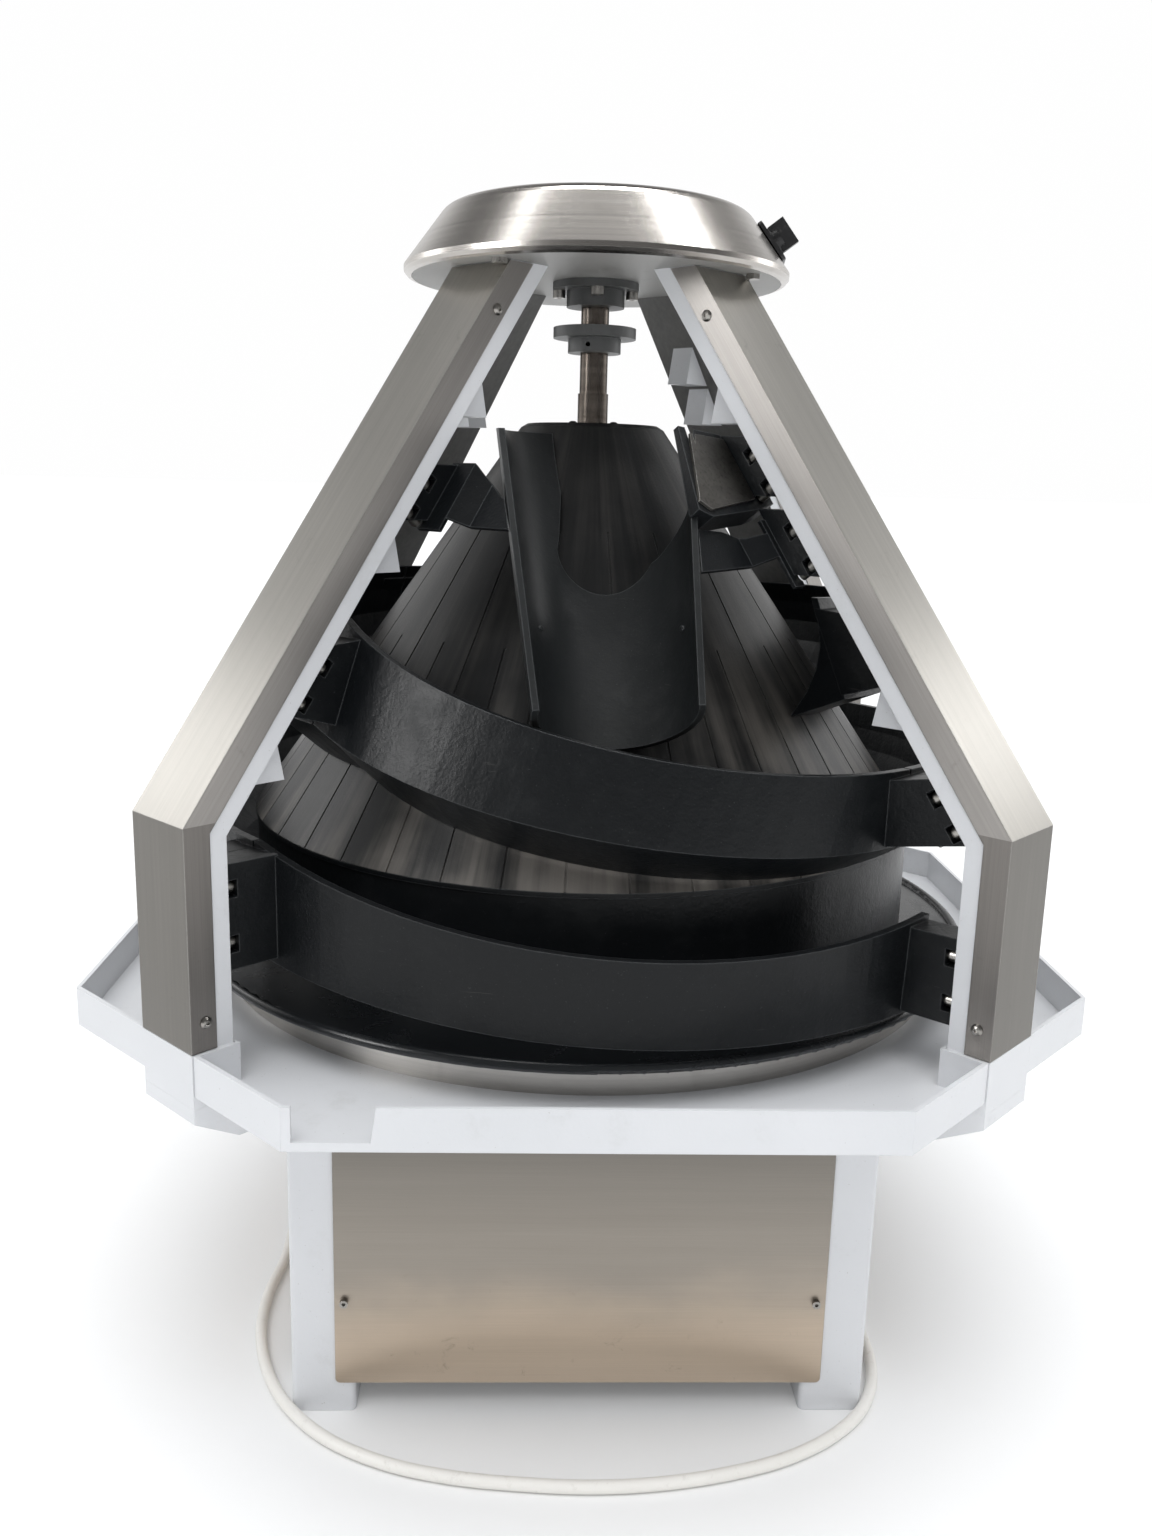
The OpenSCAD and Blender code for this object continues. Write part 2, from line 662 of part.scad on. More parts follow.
module top_bearing() {
    color(grey) difference() {
        union() {
            translate([0, 0, cap_z - top_flange_t]) cylinder(r = top_flange_r, h = top_flange_t);
            translate([0, 0, cap_z - top_flange_t - top_hub_h]) cylinder(r = top_hub_r, h = top_hub_h + 1);
            translate([0, 0, cap_z - 1]) cylinder(r = 21.5, h = 24);
        }
        translate([0, 0, cap_z - 60]) cylinder(d = shaft_top_d + 2 * run_gap, h = 100);
        for (a = CORNERS) rotate([0, 0, a + 45]) translate([top_screw_pcd / 2, 0, cap_z - 40])
            cylinder(d = 8.4, h = 60);
    }
}

switch_up = 30;
switch_r = cap_r - switch_up * tan(cap_slope);
switch_t = 4;

// The switch's place on the cap: +Z stands out of the cap's wall
module switch_place() {
    rotate([0, 0, switch_az]) translate([switch_r, 0, cap_z + cap_edge + switch_up])
        rotate([0, 90 - cap_slope, 0]) translate([0, 0, fit]) children();
}

module switch_body() {
    color(black) switch_place() difference() {
        union() {
            linear_extrude(switch_t) round_square(switch_w, 5);
            translate([0, 0, switch_t - eps]) cylinder(d = 26, h = 3);
            translate([0, 0, -34]) cylinder(d = 22, h = 34 + eps);
        }
        translate([0, 0, -20]) cylinder(d = 8 + 2 * run_gap, h = 60);
    }
}

module switch_knob() {
    color(black) switch_place() {
        translate([0, 0, -12]) cylinder(d = 8, h = 20);
        translate([0, 0, switch_t + 3.2]) cylinder(d = 20, h = 6);
        translate([-knob_l / 2, -4.5, switch_t + 3.2]) cube([knob_l, 9, 19]);
    }
}

// Rotor: the cone, its drum and flange, the hub and spider on the shaft
shaft_foot = drive_z - 4;
shaft_end = cap_z + 26;

module cone() {
    w = cone_wall;
    bevel = 4;
    plate = 14;
    color(black) difference() {
        rotate_extrude($fn = 180) polygon([[cone_r - w, cone_z], [cone_r, cone_z],
            [cone_top_r + bevel * slope, cone_top - bevel], [cone_top_r - bevel, cone_top], [0, cone_top],
            [0, cone_top - plate], [cone_at(cone_top - plate) - w, cone_top - plate]]);
        translate([0, 0, cone_top - plate - 1]) cylinder(d = shaft_d + 0.1, h = plate + 2);
        for (i = [0 : groove_n - 1]) rotate([0, 0, (i + 0.5) * 360 / groove_n])
            translate([cone_r, 0, cone_z]) rotate([0, -cone_lean, 0]) translate([-groove_d, -groove_w / 2, -6])
                cube([10, groove_w, (i % 2 == 0 ? groove_long : groove_short) + 6]);
        for (a = CORNERS) rotate([0, 0, a]) translate([cone_bolt_r, 0, cone_top - plate - 1])
            cylinder(d = cone_bolt_d + 0.4, h = plate + 2);
    }
}
cone_bolt_r = 31;
cone_bolt_d = 6;

module cone_bolts() {
    color(black) for (a = CORNERS) rotate([0, 0, a]) translate([cone_bolt_r, 0, cone_top])
        button_screw(cone_bolt_d, 10, 3.3, 26);
}

module cone_hub() {
    color(grey) translate([0, 0, cone_top - 14]) difference() {
        union() {
            translate([0, 0, -16]) cylinder(r = 46, h = 16);
            translate([0, 0, -60]) cylinder(r = 27, h = 50);
        }
        translate([0, 0, -61]) cylinder(d = shaft_d + 0.1, h = 70);
        for (a = CORNERS) rotate([0, 0, a]) translate([cone_bolt_r, 0, -17])
            cylinder(d = cone_bolt_d + 0.4, h = 20);
    }
}

drum_r = cone_r - 2;

module drum() {
    color(black) difference() {
        union() {
            translate([0, 0, flange_z + flange_t]) cylinder(r = drum_r, h = cone_z - flange_z - flange_t);
            translate([0, 0, cone_z - 5]) cylinder(r = cone_r, h = 5);
        }
        translate([0, 0, flange_z]) cylinder(r = drum_r - drum_t, h = cone_z);
    }
}

module flange() {
    bead_r = flange_r - flange_bead;
    color(black) {
        translate([0, 0, flange_z]) difference() {
            cylinder(r = bead_r, h = flange_t);
            translate([0, 0, -1]) cylinder(d = shaft_d + 0.1, h = flange_t + 2);
        }
        translate([0, 0, flange_z + flange_bead]) rotate_extrude($fn = 180) translate([bead_r, 0])
            circle(flange_bead, $fn = 32);
    }
}

module cone_spider() {
    z = flange_z + flange_t;
    color(grey) translate([0, 0, z]) difference() {
        union() {
            cylinder(r = 40, h = 60);
            difference() {
                cylinder(r = drum_r - drum_t - 0.1, h = 12);
                translate([0, 0, -1]) cylinder(r = drum_r - drum_t - 24, h = 14);
            }
            for (a = [0, 90]) rotate([0, 0, a]) translate([-drum_r + drum_t + 12, -7, 0])
                cube([2 * (drum_r - drum_t - 12), 14, 30]);
        }
        translate([0, 0, -1]) cylinder(d = shaft_d + 0.1, h = 70);
    }
}

module main_shaft() {
    color(steel) {
        translate([0, 0, shaft_foot]) cylinder(d = shaft_d, h = cone_top + shaft_step - shaft_foot);
        translate([0, 0, cone_top + shaft_step - eps]) cylinder(d = shaft_top_d, h = shaft_end - cone_top - shaft_step);
        translate([0, 0, shaft_end - eps]) cylinder(d1 = shaft_top_d, d2 = shaft_top_d - 4, h = 2);
    }
}

module height_collar() {
    z = cone_top + hcollar_up;
    color(grey) difference() {
        union() {
            translate([0, 0, z]) cylinder(d = hcollar_hub_d, h = hcollar_hub_h + 1);
            translate([0, 0, z + hcollar_hub_h]) cylinder(d = hcollar_d, h = hcollar_t);
        }
        translate([0, 0, z - 1]) cylinder(d = shaft_top_d + 0.1, h = 60);
        translate([-8, 0, z + hcollar_hub_h / 2]) rotate([90, 0, 0]) cylinder(d = 5, h = 60);
    }
}

// Tracks. A section is measured from its foot on the cone:
// [foot x, corner x, corner z, top x, top z, bend x, bend z, rise of the column foot, drop of its top]
HOLLOW = [0, 60, 27, 22, 121, 48, 64, 24, 14];
LEANING = [0, 58, 52, 20, 148, 50, 78, 18, 19];
UPRIGHT = [0, 42, 28, 44, 101, 34, 22, 22, -3];
WIDE = [0, 72, 20, 72, 107, 62, 16, 4, 5];
WALL_IN = [62, 72, 0, 72, 107, 62, 50, 4, 5];
WALL_OUT = [62, 72, 0, 76, 92, 62, 50, 4, 5];
// A track: [start azimuth, end azimuth, start height, end height, fall power, dip, sections]
UPPER_RIGHT = [-45, 45, 130, 112, 1, 0, HOLLOW, HOLLOW];
UPPER_BACK = [45, 135, 112, 94, 1, 0, HOLLOW, LEANING];
UPPER_LEFT = [135, 225, 94, 76, 1, 0, LEANING, LEANING];
UPPER_FRONT = [225, 315, 76, 0, 2, 8, LEANING, UPRIGHT];
LOWER_RIGHT = [315, 405, 0, -26, 1, 0, UPRIGHT, UPRIGHT];
LOWER_BACK = [405, 495, -26, -52, 1, 0, UPRIGHT, WIDE];
LOWER_LEFT = [495, 585, -52, -79, 1, 0, WIDE, WIDE];
LOWER_FRONT = [225, 315, -79, -124, 2, 19, WALL_IN, WALL_OUT];
TRACKS = [UPPER_RIGHT, UPPER_BACK, UPPER_LEFT, UPPER_FRONT, LOWER_RIGHT, LOWER_BACK, LOWER_LEFT, LOWER_FRONT];

track_steps = 24;
bend_steps = 5;
joint_half = 0.16;

function fall(k, t) = cone_z + k[3] + (k[2] - k[3]) * pow(1 - t, k[4]);
function section_at(k, t) = [for (i = [0 : 8]) lerp(k[6][i], k[7][i], t) - (i == 4 ? k[5] * sin(180 * t) : 0)];
function bezier(a, b, c, t) = (1 - t) * (1 - t) * a + 2 * t * (1 - t) * b + t * t * c;
// Points of the section at a share t of a track, as radius and height
function track_points(k, t) = let (s = section_at(k, t), z = fall(k, t), r = cone_at(z) + track_gap,
        top = [s[3] - track_edge, s[4]], foot = [s[0], s[2] > 0 ? 1 : 0])
    [for (p = concat([foot, [s[1], s[2]], [s[3], s[4]]],
        [for (i = [0 : bend_steps]) bezier(top, [s[5], s[6]], [s[0], s[2] > 0 ? 3 : 1], i / bend_steps)]))
        [r + p[0], z + p[1]]];

module track_wall(k) {
    n = bend_steps + 4;
    a0 = k[0] + joint_half;
    a1 = k[1] - joint_half;
    points = [for (i = [0 : track_steps]) let (t = i / track_steps, a = lerp(a0, a1, t))
        for (p = track_points(k, t)) [p[0] * cos(a), p[0] * sin(a), p[1]]];
    sides = [for (i = [0 : track_steps - 1], j = [0 : n - 1]) let (a = i * n + j, b = i * n + (j + 1) % n)
        each [[a, b, b + n], [a, b + n, a + n]]];
    polyhedron(points = points, faces = concat(sides, [[for (j = [0 : n - 1]) (n + 1 - j) % n]],
        [[for (j = [0 : n - 1]) track_steps * n + (j + 1) % n]]));
}

// The foot between a track's wall and a column: its outline, and the heights of its pad
function foot_span(k, t) = let (p = track_points(k, t), s = section_at(k, t), low = p[1], high = p[2],
        z0 = low[1] + s[7], z1 = high[1] - s[8]) [low, high, z0, z1, max(6, s[8] - 4)];

module track_foot(k, t, side) {
    f = foot_span(k, t);
    az = lerp(k[0], k[1], t);
    t0 = side > 0 ? 0.6 : -foot_w;
    t1 = side > 0 ? foot_w : -0.6;
    radial_plate(az, t0, t1) polygon([[f[0][0] - 4, f[0][1] + 3], [face_r(f[2]), f[2]],
        [face_r(f[3]), f[3]], [f[1][0] - 4, f[1][1] - f[4]]]);
}

// Studs stand square to a column's inner face, two in each foot
function face_lean(z) = z > line_knee(col_d) ? lean : 0;
stud_t = foot_w - 11;

module at_foot_studs(az, side, z0, z1) {
    for (z = [lerp(z0, z1, 0.24), lerp(z0, z1, 0.76)]) rotate([0, 0, az])
        translate([face_r(z), side * stud_t, z]) rotate([0, -90 - face_lean(z), 0]) children();
}

shoulder_h = 12;
slot_w = shoulder_d + 3;

// The slot in a foot round a stud's shoulder is open towards the foot's side
module stud_room(side) {
    cylinder(d = slot_w, h = shoulder_h + 1.5);
    translate([-slot_w / 2, side > 0 ? 0 : -30, -2]) cube([slot_w, 30, shoulder_h + 3.5]);
    cylinder(d = stud_d + 0.6, h = shoulder_h + 26);
}

module stud(depth) {
    cylinder(d = shoulder_d, h = shoulder_h);
    cylinder(d = stud_d, h = shoulder_h + depth);
}

module track(k) {
    color(black) difference() {
        union() {
            track_wall(k);
            track_foot(k, 0, 1);
            track_foot(k, 1, -1);
        }
        for (e = [[0, 1], [1, -1]]) let (f = foot_span(k, e[0]))
            at_foot_studs(lerp(k[0], k[1], e[0]), e[1], f[2], f[3]) stud_room(e[1]);
    }
}

// Chute and its arms: [height of the pad's foot, height of its top] above the cone's lower edge
arm_reach = 28;
ARM_LEFT = [316, 368];
ARM_RIGHT = [274, 334];
GUIDE = [346, 402];

module track_studs() {
    color(steel) {
        for (k = TRACKS, e = [[0, 1], [1, -1]]) let (f = foot_span(k, e[0]))
            at_foot_studs(lerp(k[0], k[1], e[0]), e[1], f[2], f[3]) stud(20);
        at_foot_studs(FRONT_LEFT, 1, cone_z + ARM_LEFT[0], cone_z + ARM_LEFT[1]) stud(arm_reach - shoulder_h - 2);
        for (pad = [ARM_RIGHT, GUIDE]) at_foot_studs(FRONT_RIGHT, -1, cone_z + pad[0], cone_z + pad[1])
            stud(arm_reach - shoulder_h - 2);
    }
}

chute_top_r = chute_r + chute_taper * chute_l;
chute_turn = 3.5;
chute_x = 13;

// The chute's frame: +Z runs up along its back line, +X is its right, and +Y points into its trough
module chute_place() {
    translate([chute_x, -chute_out, cone_z + chute_up]) rotate([-chute_tilt, 0, 0])
        rotate([0, -chute_turn, 0]) mirror([0, 1, 0]) children();
}

// A half pipe from its outlet up, filled, with its surface moved out by a margin
module chute_form(grow, ends) {
    r0 = chute_r + grow - chute_taper * ends;
    rotate([-atan(chute_taper), 0, 0]) difference() {
        translate([0, chute_r, -ends])
            cylinder(r1 = r0, r2 = r0 + chute_taper * (chute_l + 2 * ends), h = chute_l + 2 * ends);
        translate([-200, chute_r + chute_side, -ends - 1]) cube([400, 300, chute_l + 2 * ends + 2]);
    }
}

// The opening in the chute's back over the cone, and the part of its right wall that the guide takes over
module chute_mouth() {
    rotate([90, 0, 0]) translate([0, 0, -200]) linear_extrude(260) {
        translate([10, 218]) circle(r = 48);
        polygon([[-37.5, 215], [-22, 380], [-22, 600], [200, 600], [200, 250], [80, 211], [57, 195], [10, 180]]);
    }
}

module chute() {
    room = 5;
    color(black) difference() {
        chute_place() difference() {
            chute_form(0, 0);
            chute_open();
            chute_mouth();
        }
        translate([0, 0, cone_z]) cylinder(r1 = cone_r + room, r2 = cone_top_r + room, h = cone_h);
        translate([-200, -400, cone_z + chute_top_up]) cube([400, 500, 200]);
    }
    color(black) chute_place() rotate([-atan(chute_taper), 0, 0])
        for (p = [[-60, 116], [69, 102]]) let (r = chute_r + chute_taper * p[1] - chute_wall)
            translate([p[0], chute_r - sqrt(r * r - p[0] * p[0]), p[1]]) rotate([-90, 0, asin(p[0] / r)])
                translate([0, 0, -2]) cylinder(r = 2.5, h = 3.5);
}

module chute_open() {
    rotate([-atan(chute_taper), 0, 0]) translate([0, chute_r, -1])
        cylinder(r1 = chute_r - chute_wall - chute_taper, r2 = chute_top_r - chute_wall + chute_taper, h = chute_l + 2);
}

// An arm's frame: +X stands out of a column's inner face, +Y is across it, and +Z runs up along it
module arm_place(az, pad) {
    z = cone_z + (pad[0] + pad[1]) / 2;
    rotate([0, 0, az]) translate([face_r(z), 0, z]) rotate([0, -lean, 0]) children();
}

module arm_pad(az, side, pad) {
    z0 = cone_z + pad[0];
    z1 = cone_z + pad[1];
    reach = arm_reach / cos(lean);
    difference() {
        union() {
            radial_plate(az, side > 0 ? 0.6 : -foot_w, side > 0 ? foot_w : -0.6)
                polygon([[face_r(z0), z0], [face_r(z0) - reach, z0], [face_r(z1) - reach, z1], [face_r(z1), z1]]);
            children();
        }
        at_foot_studs(az, side, z0, z1) stud_room(side);
    }
}

// A bent sheet from a pad to the chute: its fold, and its outline across and up
module arm_sheet(az, side, pad, fold, outline) {
    t = 4;
    x0 = -arm_reach - t + 1;
    difference() {
        arm_place(az, pad) mirror([0, side > 0 ? 0 : 1, 0]) intersection() {
            translate([0, 0, -100]) linear_extrude(200) polygon([[x0, 20], [x0, fold[0]], [fold[2], fold[1]],
                [fold[2], 190], [fold[2] + t, 190], [fold[2] + t, fold[1]], [x0 + t, fold[0]], [x0 + t, 20]]);
            rotate([90, 0, 90]) translate([0, 0, -100]) linear_extrude(200) polygon(outline);
        }
        chute_place() chute_room();
    }
}

// The room between the chute's sides, which an arm may not enter
module chute_room() {
    a = atan(chute_taper);
    rotate([-a, 0, 0]) for (m = [0, 1]) mirror([m, 0, 0]) translate([-chute_r - fit, chute_r - 100, 0])
        rotate([0, -a, 0]) translate([0, 0, -10]) cube([chute_r + 20, 250, chute_l + 20]);
}

module chute_arm_left() {
    color(black) {
        arm_pad(FRONT_LEFT, 1, ARM_LEFT) arm_sheet(FRONT_LEFT, 1, ARM_LEFT, [56, 78, -44],
            [[24, -22], [56, -22], [56, -8], [150, -8], [150, 26], [100, 26], [66, 48], [56, 55], [24, 55]]);
    }
}

module chute_arm_right() {
    color(black) {
        arm_pad(FRONT_RIGHT, -1, ARM_RIGHT) arm_sheet(FRONT_RIGHT, -1, ARM_RIGHT, [40, 66, -46],
            [[24, -30], [40, -30], [40, 4], [160, 0], [160, 66], [134, 66], [126, 46], [86, 42], [60, 32],
            [40, 30], [40, 45], [24, 45]]);
    }
}

module infeed_guide() {
    color(black) {
        arm_pad(FRONT_RIGHT, -1, GUIDE) difference() {
            arm_place(FRONT_RIGHT, GUIDE) translate([-arm_reach - 26, 0, 0]) rotate([90, 0, 90])
                linear_extrude(27) polygon([[-126, -30], [-92, 64], [-4, 52], [-4, -24], [-30, -30], [-110, -38]]);
            chute_place() chute_form(fit, 40);
            translate([0, 0, cone_z]) cylinder(r1 = cone_r + 8, r2 = cone_top_r + 8, h = cone_h);
            translate([0, 0, cone_top - eps]) cylinder(r = cone_top_r + 8, h = 60);
        }
    }
}

module guide_plate() {
    color(steel) difference() {
        arm_place(FRONT_RIGHT, GUIDE) translate([1 - arm_reach, 0, 0]) rotate([90, 0, 90]) linear_extrude(3)
            polygon([[-122, -22], [-84, 54], [-foot_w - 2, 49], [-foot_w - 2, -20], [-110, -32]]);
        chute_place() chute_form(fit + 1, 40);
    }
}

// Cable: gland, free run, coil, tie and plug
gland_d = 20;
gland_x = -130;
gland_l = 22;
relief_l = 32;
gland_nut = 30;
cable_z = cable_d / 2 + 0.25;
coil_gap = 0.9;
coil_pitch = cable_d + coil_gap;
tie_t = 1.2;
coil_z = cable_d / 2 + tie_t + 0.1;
coil_xy = [240, 395];
coil_out = coil_r + coil_pitch * coil_turns / 4;
coil_in = coil_r - coil_pitch * coil_turns / 4;
layer_h = cable_d + 0.6;
coil_end = 40;
ring_per_turn = 24;
gland_end = base_w / 2 + panel_t + gland_l + relief_l;

// Points of the free run, from the gland round the base to the coil; the floor points come first as x and y
FLOOR = [[-231, 472], [-282, 432], [-318, 375], [-337, 308], [-346, 240], [-351, 170], [-352, 100], [-350, 30],
    [-348, -40], [-354, -105], [-350, -172], [-331, -238], [-298, -296], [-250, -343], [-190, -375], [-126, -393],
    [-60, -402], [8, -406], [75, -402], [140, -390], [202, -370], [257, -338], [298, -295], [320, -238],
    [323, -172], [317, -105], [311, -38], [310, 30], [313, 98], [317, 166], [321, 234], [324, 302]];
coil_start = [coil_xy[0] + coil_out, coil_xy[1], coil_z];
ROUTE = concat([[gland_x, gland_end, gland_z], [gland_x, gland_end + cable_d, gland_z], [-134, 407, 79],
    [-148, 450, 40], [-182, 480, 12]], [for (p = FLOOR) [p[0], p[1], cable_z]],
    [coil_start - [0, 2.2 * cable_d, 0], coil_start - [0, cable_d, 0]]);

module gland_place() {
    translate([gland_x, base_w / 2 + panel_t, gland_z]) rotate([-90, 0, 0]) children();
}

module cable_gland() {
    color(grey) gland_place() {
        translate([0, 0, -panel_t - 12]) cylinder(d = gland_d, h = panel_t + 12 + eps);
        translate([0, 0, -panel_t - 6]) cylinder(d = gland_nut, h = 6, $fn = 6);
        cylinder(d = gland_nut, h = 8, $fn = 6);
        translate([0, 0, 8 - eps]) cylinder(d1 = 25, d2 = 21, h = gland_l - 8);
        translate([0, 0, gland_l - 2 * eps]) cylinder(d1 = 19, d2 = cable_d + 2, h = relief_l + 2 * eps);
    }
}

// A tube of n sides round a path: each ring stands square to the path's direction
function unit(v) = v / norm(v);
function curve(p, i, t) = let (a = p[max(0, i - 1)], b = p[i], c = p[i + 1], d = p[min(len(p) - 1, i + 2)])
    0.5 * (2 * b + (c - a) * t + (2 * a - 5 * b + 4 * c - d) * t * t + (3 * b - a - 3 * c + d) * t * t * t);
function ring(at, dir, n) = let (side = unit(cross(dir, [0, 0, 1])), up = cross(side, dir))
    [for (j = [0 : n - 1]) let (a = (j + 0.5) * 360 / n) at + cable_d / 2 * (cos(a) * side + sin(a) * up)];

module swept(path, first, last, n) {
    count = len(path);
    points = [for (i = [0 : count - 1]) each ring(path[i],
        i == 0 ? first : i == count - 1 ? last : unit(path[i + 1] - path[i - 1]), n)];
    sides = [for (i = [0 : count - 2], j = [0 : n - 1]) let (a = i * n + j, b = i * n + (j + 1) % n)
        each [[a, b + n, b], [a, a + n, b + n]]];
    polyhedron(points = points, faces = concat(sides, [for (j = [1 : n - 2]) [0, j, j + 1]],
        [for (j = [1 : n - 2]) let (e = (count - 1) * n) [e, e + j + 1, e + j]]));
}

route_path = concat([for (i = [0 : len(ROUTE) - 2], t = [0, 0.5]) curve(ROUTE, i, t)], [ROUTE[len(ROUTE) - 1]]);

module supply_cable() {
    color(cream) swept(route_path, [0, 1, 0], [0, 1, 0], 8);
}

// The coil winds in on the floor, climbs where it turns back, and winds out on top
function coil_at(turn) = let (half = coil_turns / 2, off = abs(turn - half),
        r = coil_in + (coil_out - coil_in) * off / half, c = min(1, max(0, (turn - half) * 2 + 0.5)),
        z = coil_z + layer_h * c * c * (3 - 2 * c), a = 360 * turn)
    [coil_xy[0] + r * cos(a), coil_xy[1] + r * sin(a), z];
coil_steps = round(coil_turns * ring_per_turn);
wound = [for (i = [0 : coil_steps]) coil_at(i / ring_per_turn)];
coil_path = concat([coil_start - [0, cable_d, 0]], wound, [wound[coil_steps] - [coil_end, 0, 0]]);
// Least gap of the coil to itself: distances between points more than half a turn apart
coil_least = min([for (i = [0 : coil_steps], j = [i + ring_per_turn / 2 : coil_steps]) norm(wound[i] - wound[j])])
    - cable_d;
echo(coil_least_gap = coil_least);

module cable_coil() {
    color(cream) swept(coil_path, [0, 1, 0], [-1, 0, 0], 6);
}

tie_az = 225;
module cable_tie() {
    low = coil_in - cable_d / 2 - 1.2;
    high = coil_out + cable_d / 2 + 1.2;
    top = coil_z + layer_h + cable_d / 2 + 1;
    color(black) translate([coil_xy[0], coil_xy[1], 0]) rotate([0, 0, tie_az]) {
        translate([0, 3, 0]) rotate([90, 0, 0]) linear_extrude(6) difference() {
            translate([low - tie_t, 0]) square([high - low + 2 * tie_t, top + tie_t]);
            translate([low, tie_t]) square([high - low, top - tie_t]);
        }
        translate([(low + high) / 2 - 5, -5, top + tie_t - eps]) cube([10, 10, 5]);
    }
}

// The plug lies at the coil's free end, and is round so that it rests on the floor
plug_z = coil_z + layer_h;
module cable_plug() {
    r = plug_z - 0.3;
    at = wound[coil_steps] - [coil_end, 0, 0];
    color(cream) translate(at) rotate([0, -90, 0]) {
        cylinder(d1 = cable_d + 3, d2 = 20, h = 32);
        translate([0, 0, 32 - eps]) rotate_extrude() polygon([[0, 0], [12, 0], [r - 2, 12], [r, 16], [r, 52],
            [r - 2, 54], [0, 54]]);
    }
    color(steel) translate(at) rotate([0, -90, 0]) for (y = [-9.5, 9.5])
        translate([0, y, 86 - 2 * eps]) cylinder(d = 4.8, h = 19);
}

leg(-1, -1);  // leg_front_left
leg(1, -1);  // leg_front_right
leg(-1, 1);  // leg_back_left
leg(1, 1);  // leg_back_right
frame_rails();
panel(270);  // panel_front
panel(90);  // panel_back
panel(180);  // panel_left
panel(0);  // panel_right
panel_screws();
drive_plate();
drive_bolts();
lower_bearing();
gear_motor();
drive_belts();
tray();
support_arms();
collar_ring();
column(FRONT_LEFT, LUGS_LEFT);  // column_front_left
column(FRONT_RIGHT, LUGS_RIGHT);  // column_front_right
column(BACK_LEFT, LUGS_BACK_LEFT);  // column_back_left
column(BACK_RIGHT, LUGS_BACK_RIGHT);  // column_back_right
column_covers();
cover_screws();
cap_plate();
cap_shell();
cap_screws();
top_bearing();
track(UPPER_RIGHT);  // track_upper_right
track(UPPER_BACK);  // track_upper_back
track(UPPER_LEFT);  // track_upper_left
track(UPPER_FRONT);  // track_upper_front
track(LOWER_RIGHT);  // track_lower_right
track(LOWER_BACK);  // track_lower_back
track(LOWER_LEFT);  // track_lower_left
track(LOWER_FRONT);  // track_lower_front
track_studs();
chute();
chute_arm_left();
chute_arm_right();
infeed_guide();
guide_plate();
switch_body();
cable_gland();
supply_cable();
cable_coil();
cable_tie();
cable_plug();
cone();
drum();
flange();
cone_spider();
cone_hub();
main_shaft();
height_collar();
cone_bolts();
driven_pulley();
motor_pulley();
switch_knob();
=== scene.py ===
import math

import bmesh
import bpy
from mathutils import Matrix, Vector


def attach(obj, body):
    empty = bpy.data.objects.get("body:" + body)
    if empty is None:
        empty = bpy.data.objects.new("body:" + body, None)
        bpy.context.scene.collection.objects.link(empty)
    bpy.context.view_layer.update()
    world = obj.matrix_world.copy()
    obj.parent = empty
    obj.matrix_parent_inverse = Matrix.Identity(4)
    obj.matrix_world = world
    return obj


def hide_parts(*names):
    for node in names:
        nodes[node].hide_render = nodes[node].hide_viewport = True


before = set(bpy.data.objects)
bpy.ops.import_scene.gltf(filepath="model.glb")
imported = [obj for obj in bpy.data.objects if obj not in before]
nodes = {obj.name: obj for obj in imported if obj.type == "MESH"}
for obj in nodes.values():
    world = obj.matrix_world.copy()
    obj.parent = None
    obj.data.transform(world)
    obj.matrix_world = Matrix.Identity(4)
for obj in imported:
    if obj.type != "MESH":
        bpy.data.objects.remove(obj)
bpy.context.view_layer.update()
scene = bpy.context.scene
scene.view_settings.view_transform = "Standard"
MM = 0.001


# Camera at the photograph's angle, fitted to the tray, the columns and the base
YAW, PITCH_DOWN, ROLL = (math.radians(a) for a in (2.176, 12.199, 1.462))
CAMERA_AT = Vector((-63.09, -1460.85, 944.24))
PHOTO_W, PHOTO_H = 1152, 1536
FOCAL_PX = 1296.2
CENTRE_X, CENTRE_Y = 576.88, 756.57
SENSOR = 36


def make_camera():
    yaw, pitch, roll = YAW, PITCH_DOWN, ROLL
    ahead = Vector((math.sin(yaw) * math.cos(pitch), math.cos(yaw) * math.cos(pitch), -math.sin(pitch)))
    right = Vector((math.cos(yaw), -math.sin(yaw), 0))
    up = right.cross(ahead)
    x = math.cos(roll) * right + math.sin(roll) * up
    y = -math.sin(roll) * right + math.cos(roll) * up
    data = bpy.data.cameras.new("photo_camera")
    data.sensor_width = SENSOR
    data.lens = FOCAL_PX / PHOTO_H * SENSOR
    data.shift_x = (PHOTO_W / 2 - CENTRE_X) / PHOTO_H
    data.shift_y = (CENTRE_Y - PHOTO_H / 2) / PHOTO_H
    data.clip_end = 200
    camera = bpy.data.objects.new("photo_camera", data)
    scene.collection.objects.link(camera)
    place = Matrix([[x[i], y[i], -ahead[i], 0] for i in range(3)] + [[0, 0, 0, 1]])
    place.translation = CAMERA_AT * MM
    camera.matrix_world = place
    scene.camera = camera


make_camera()

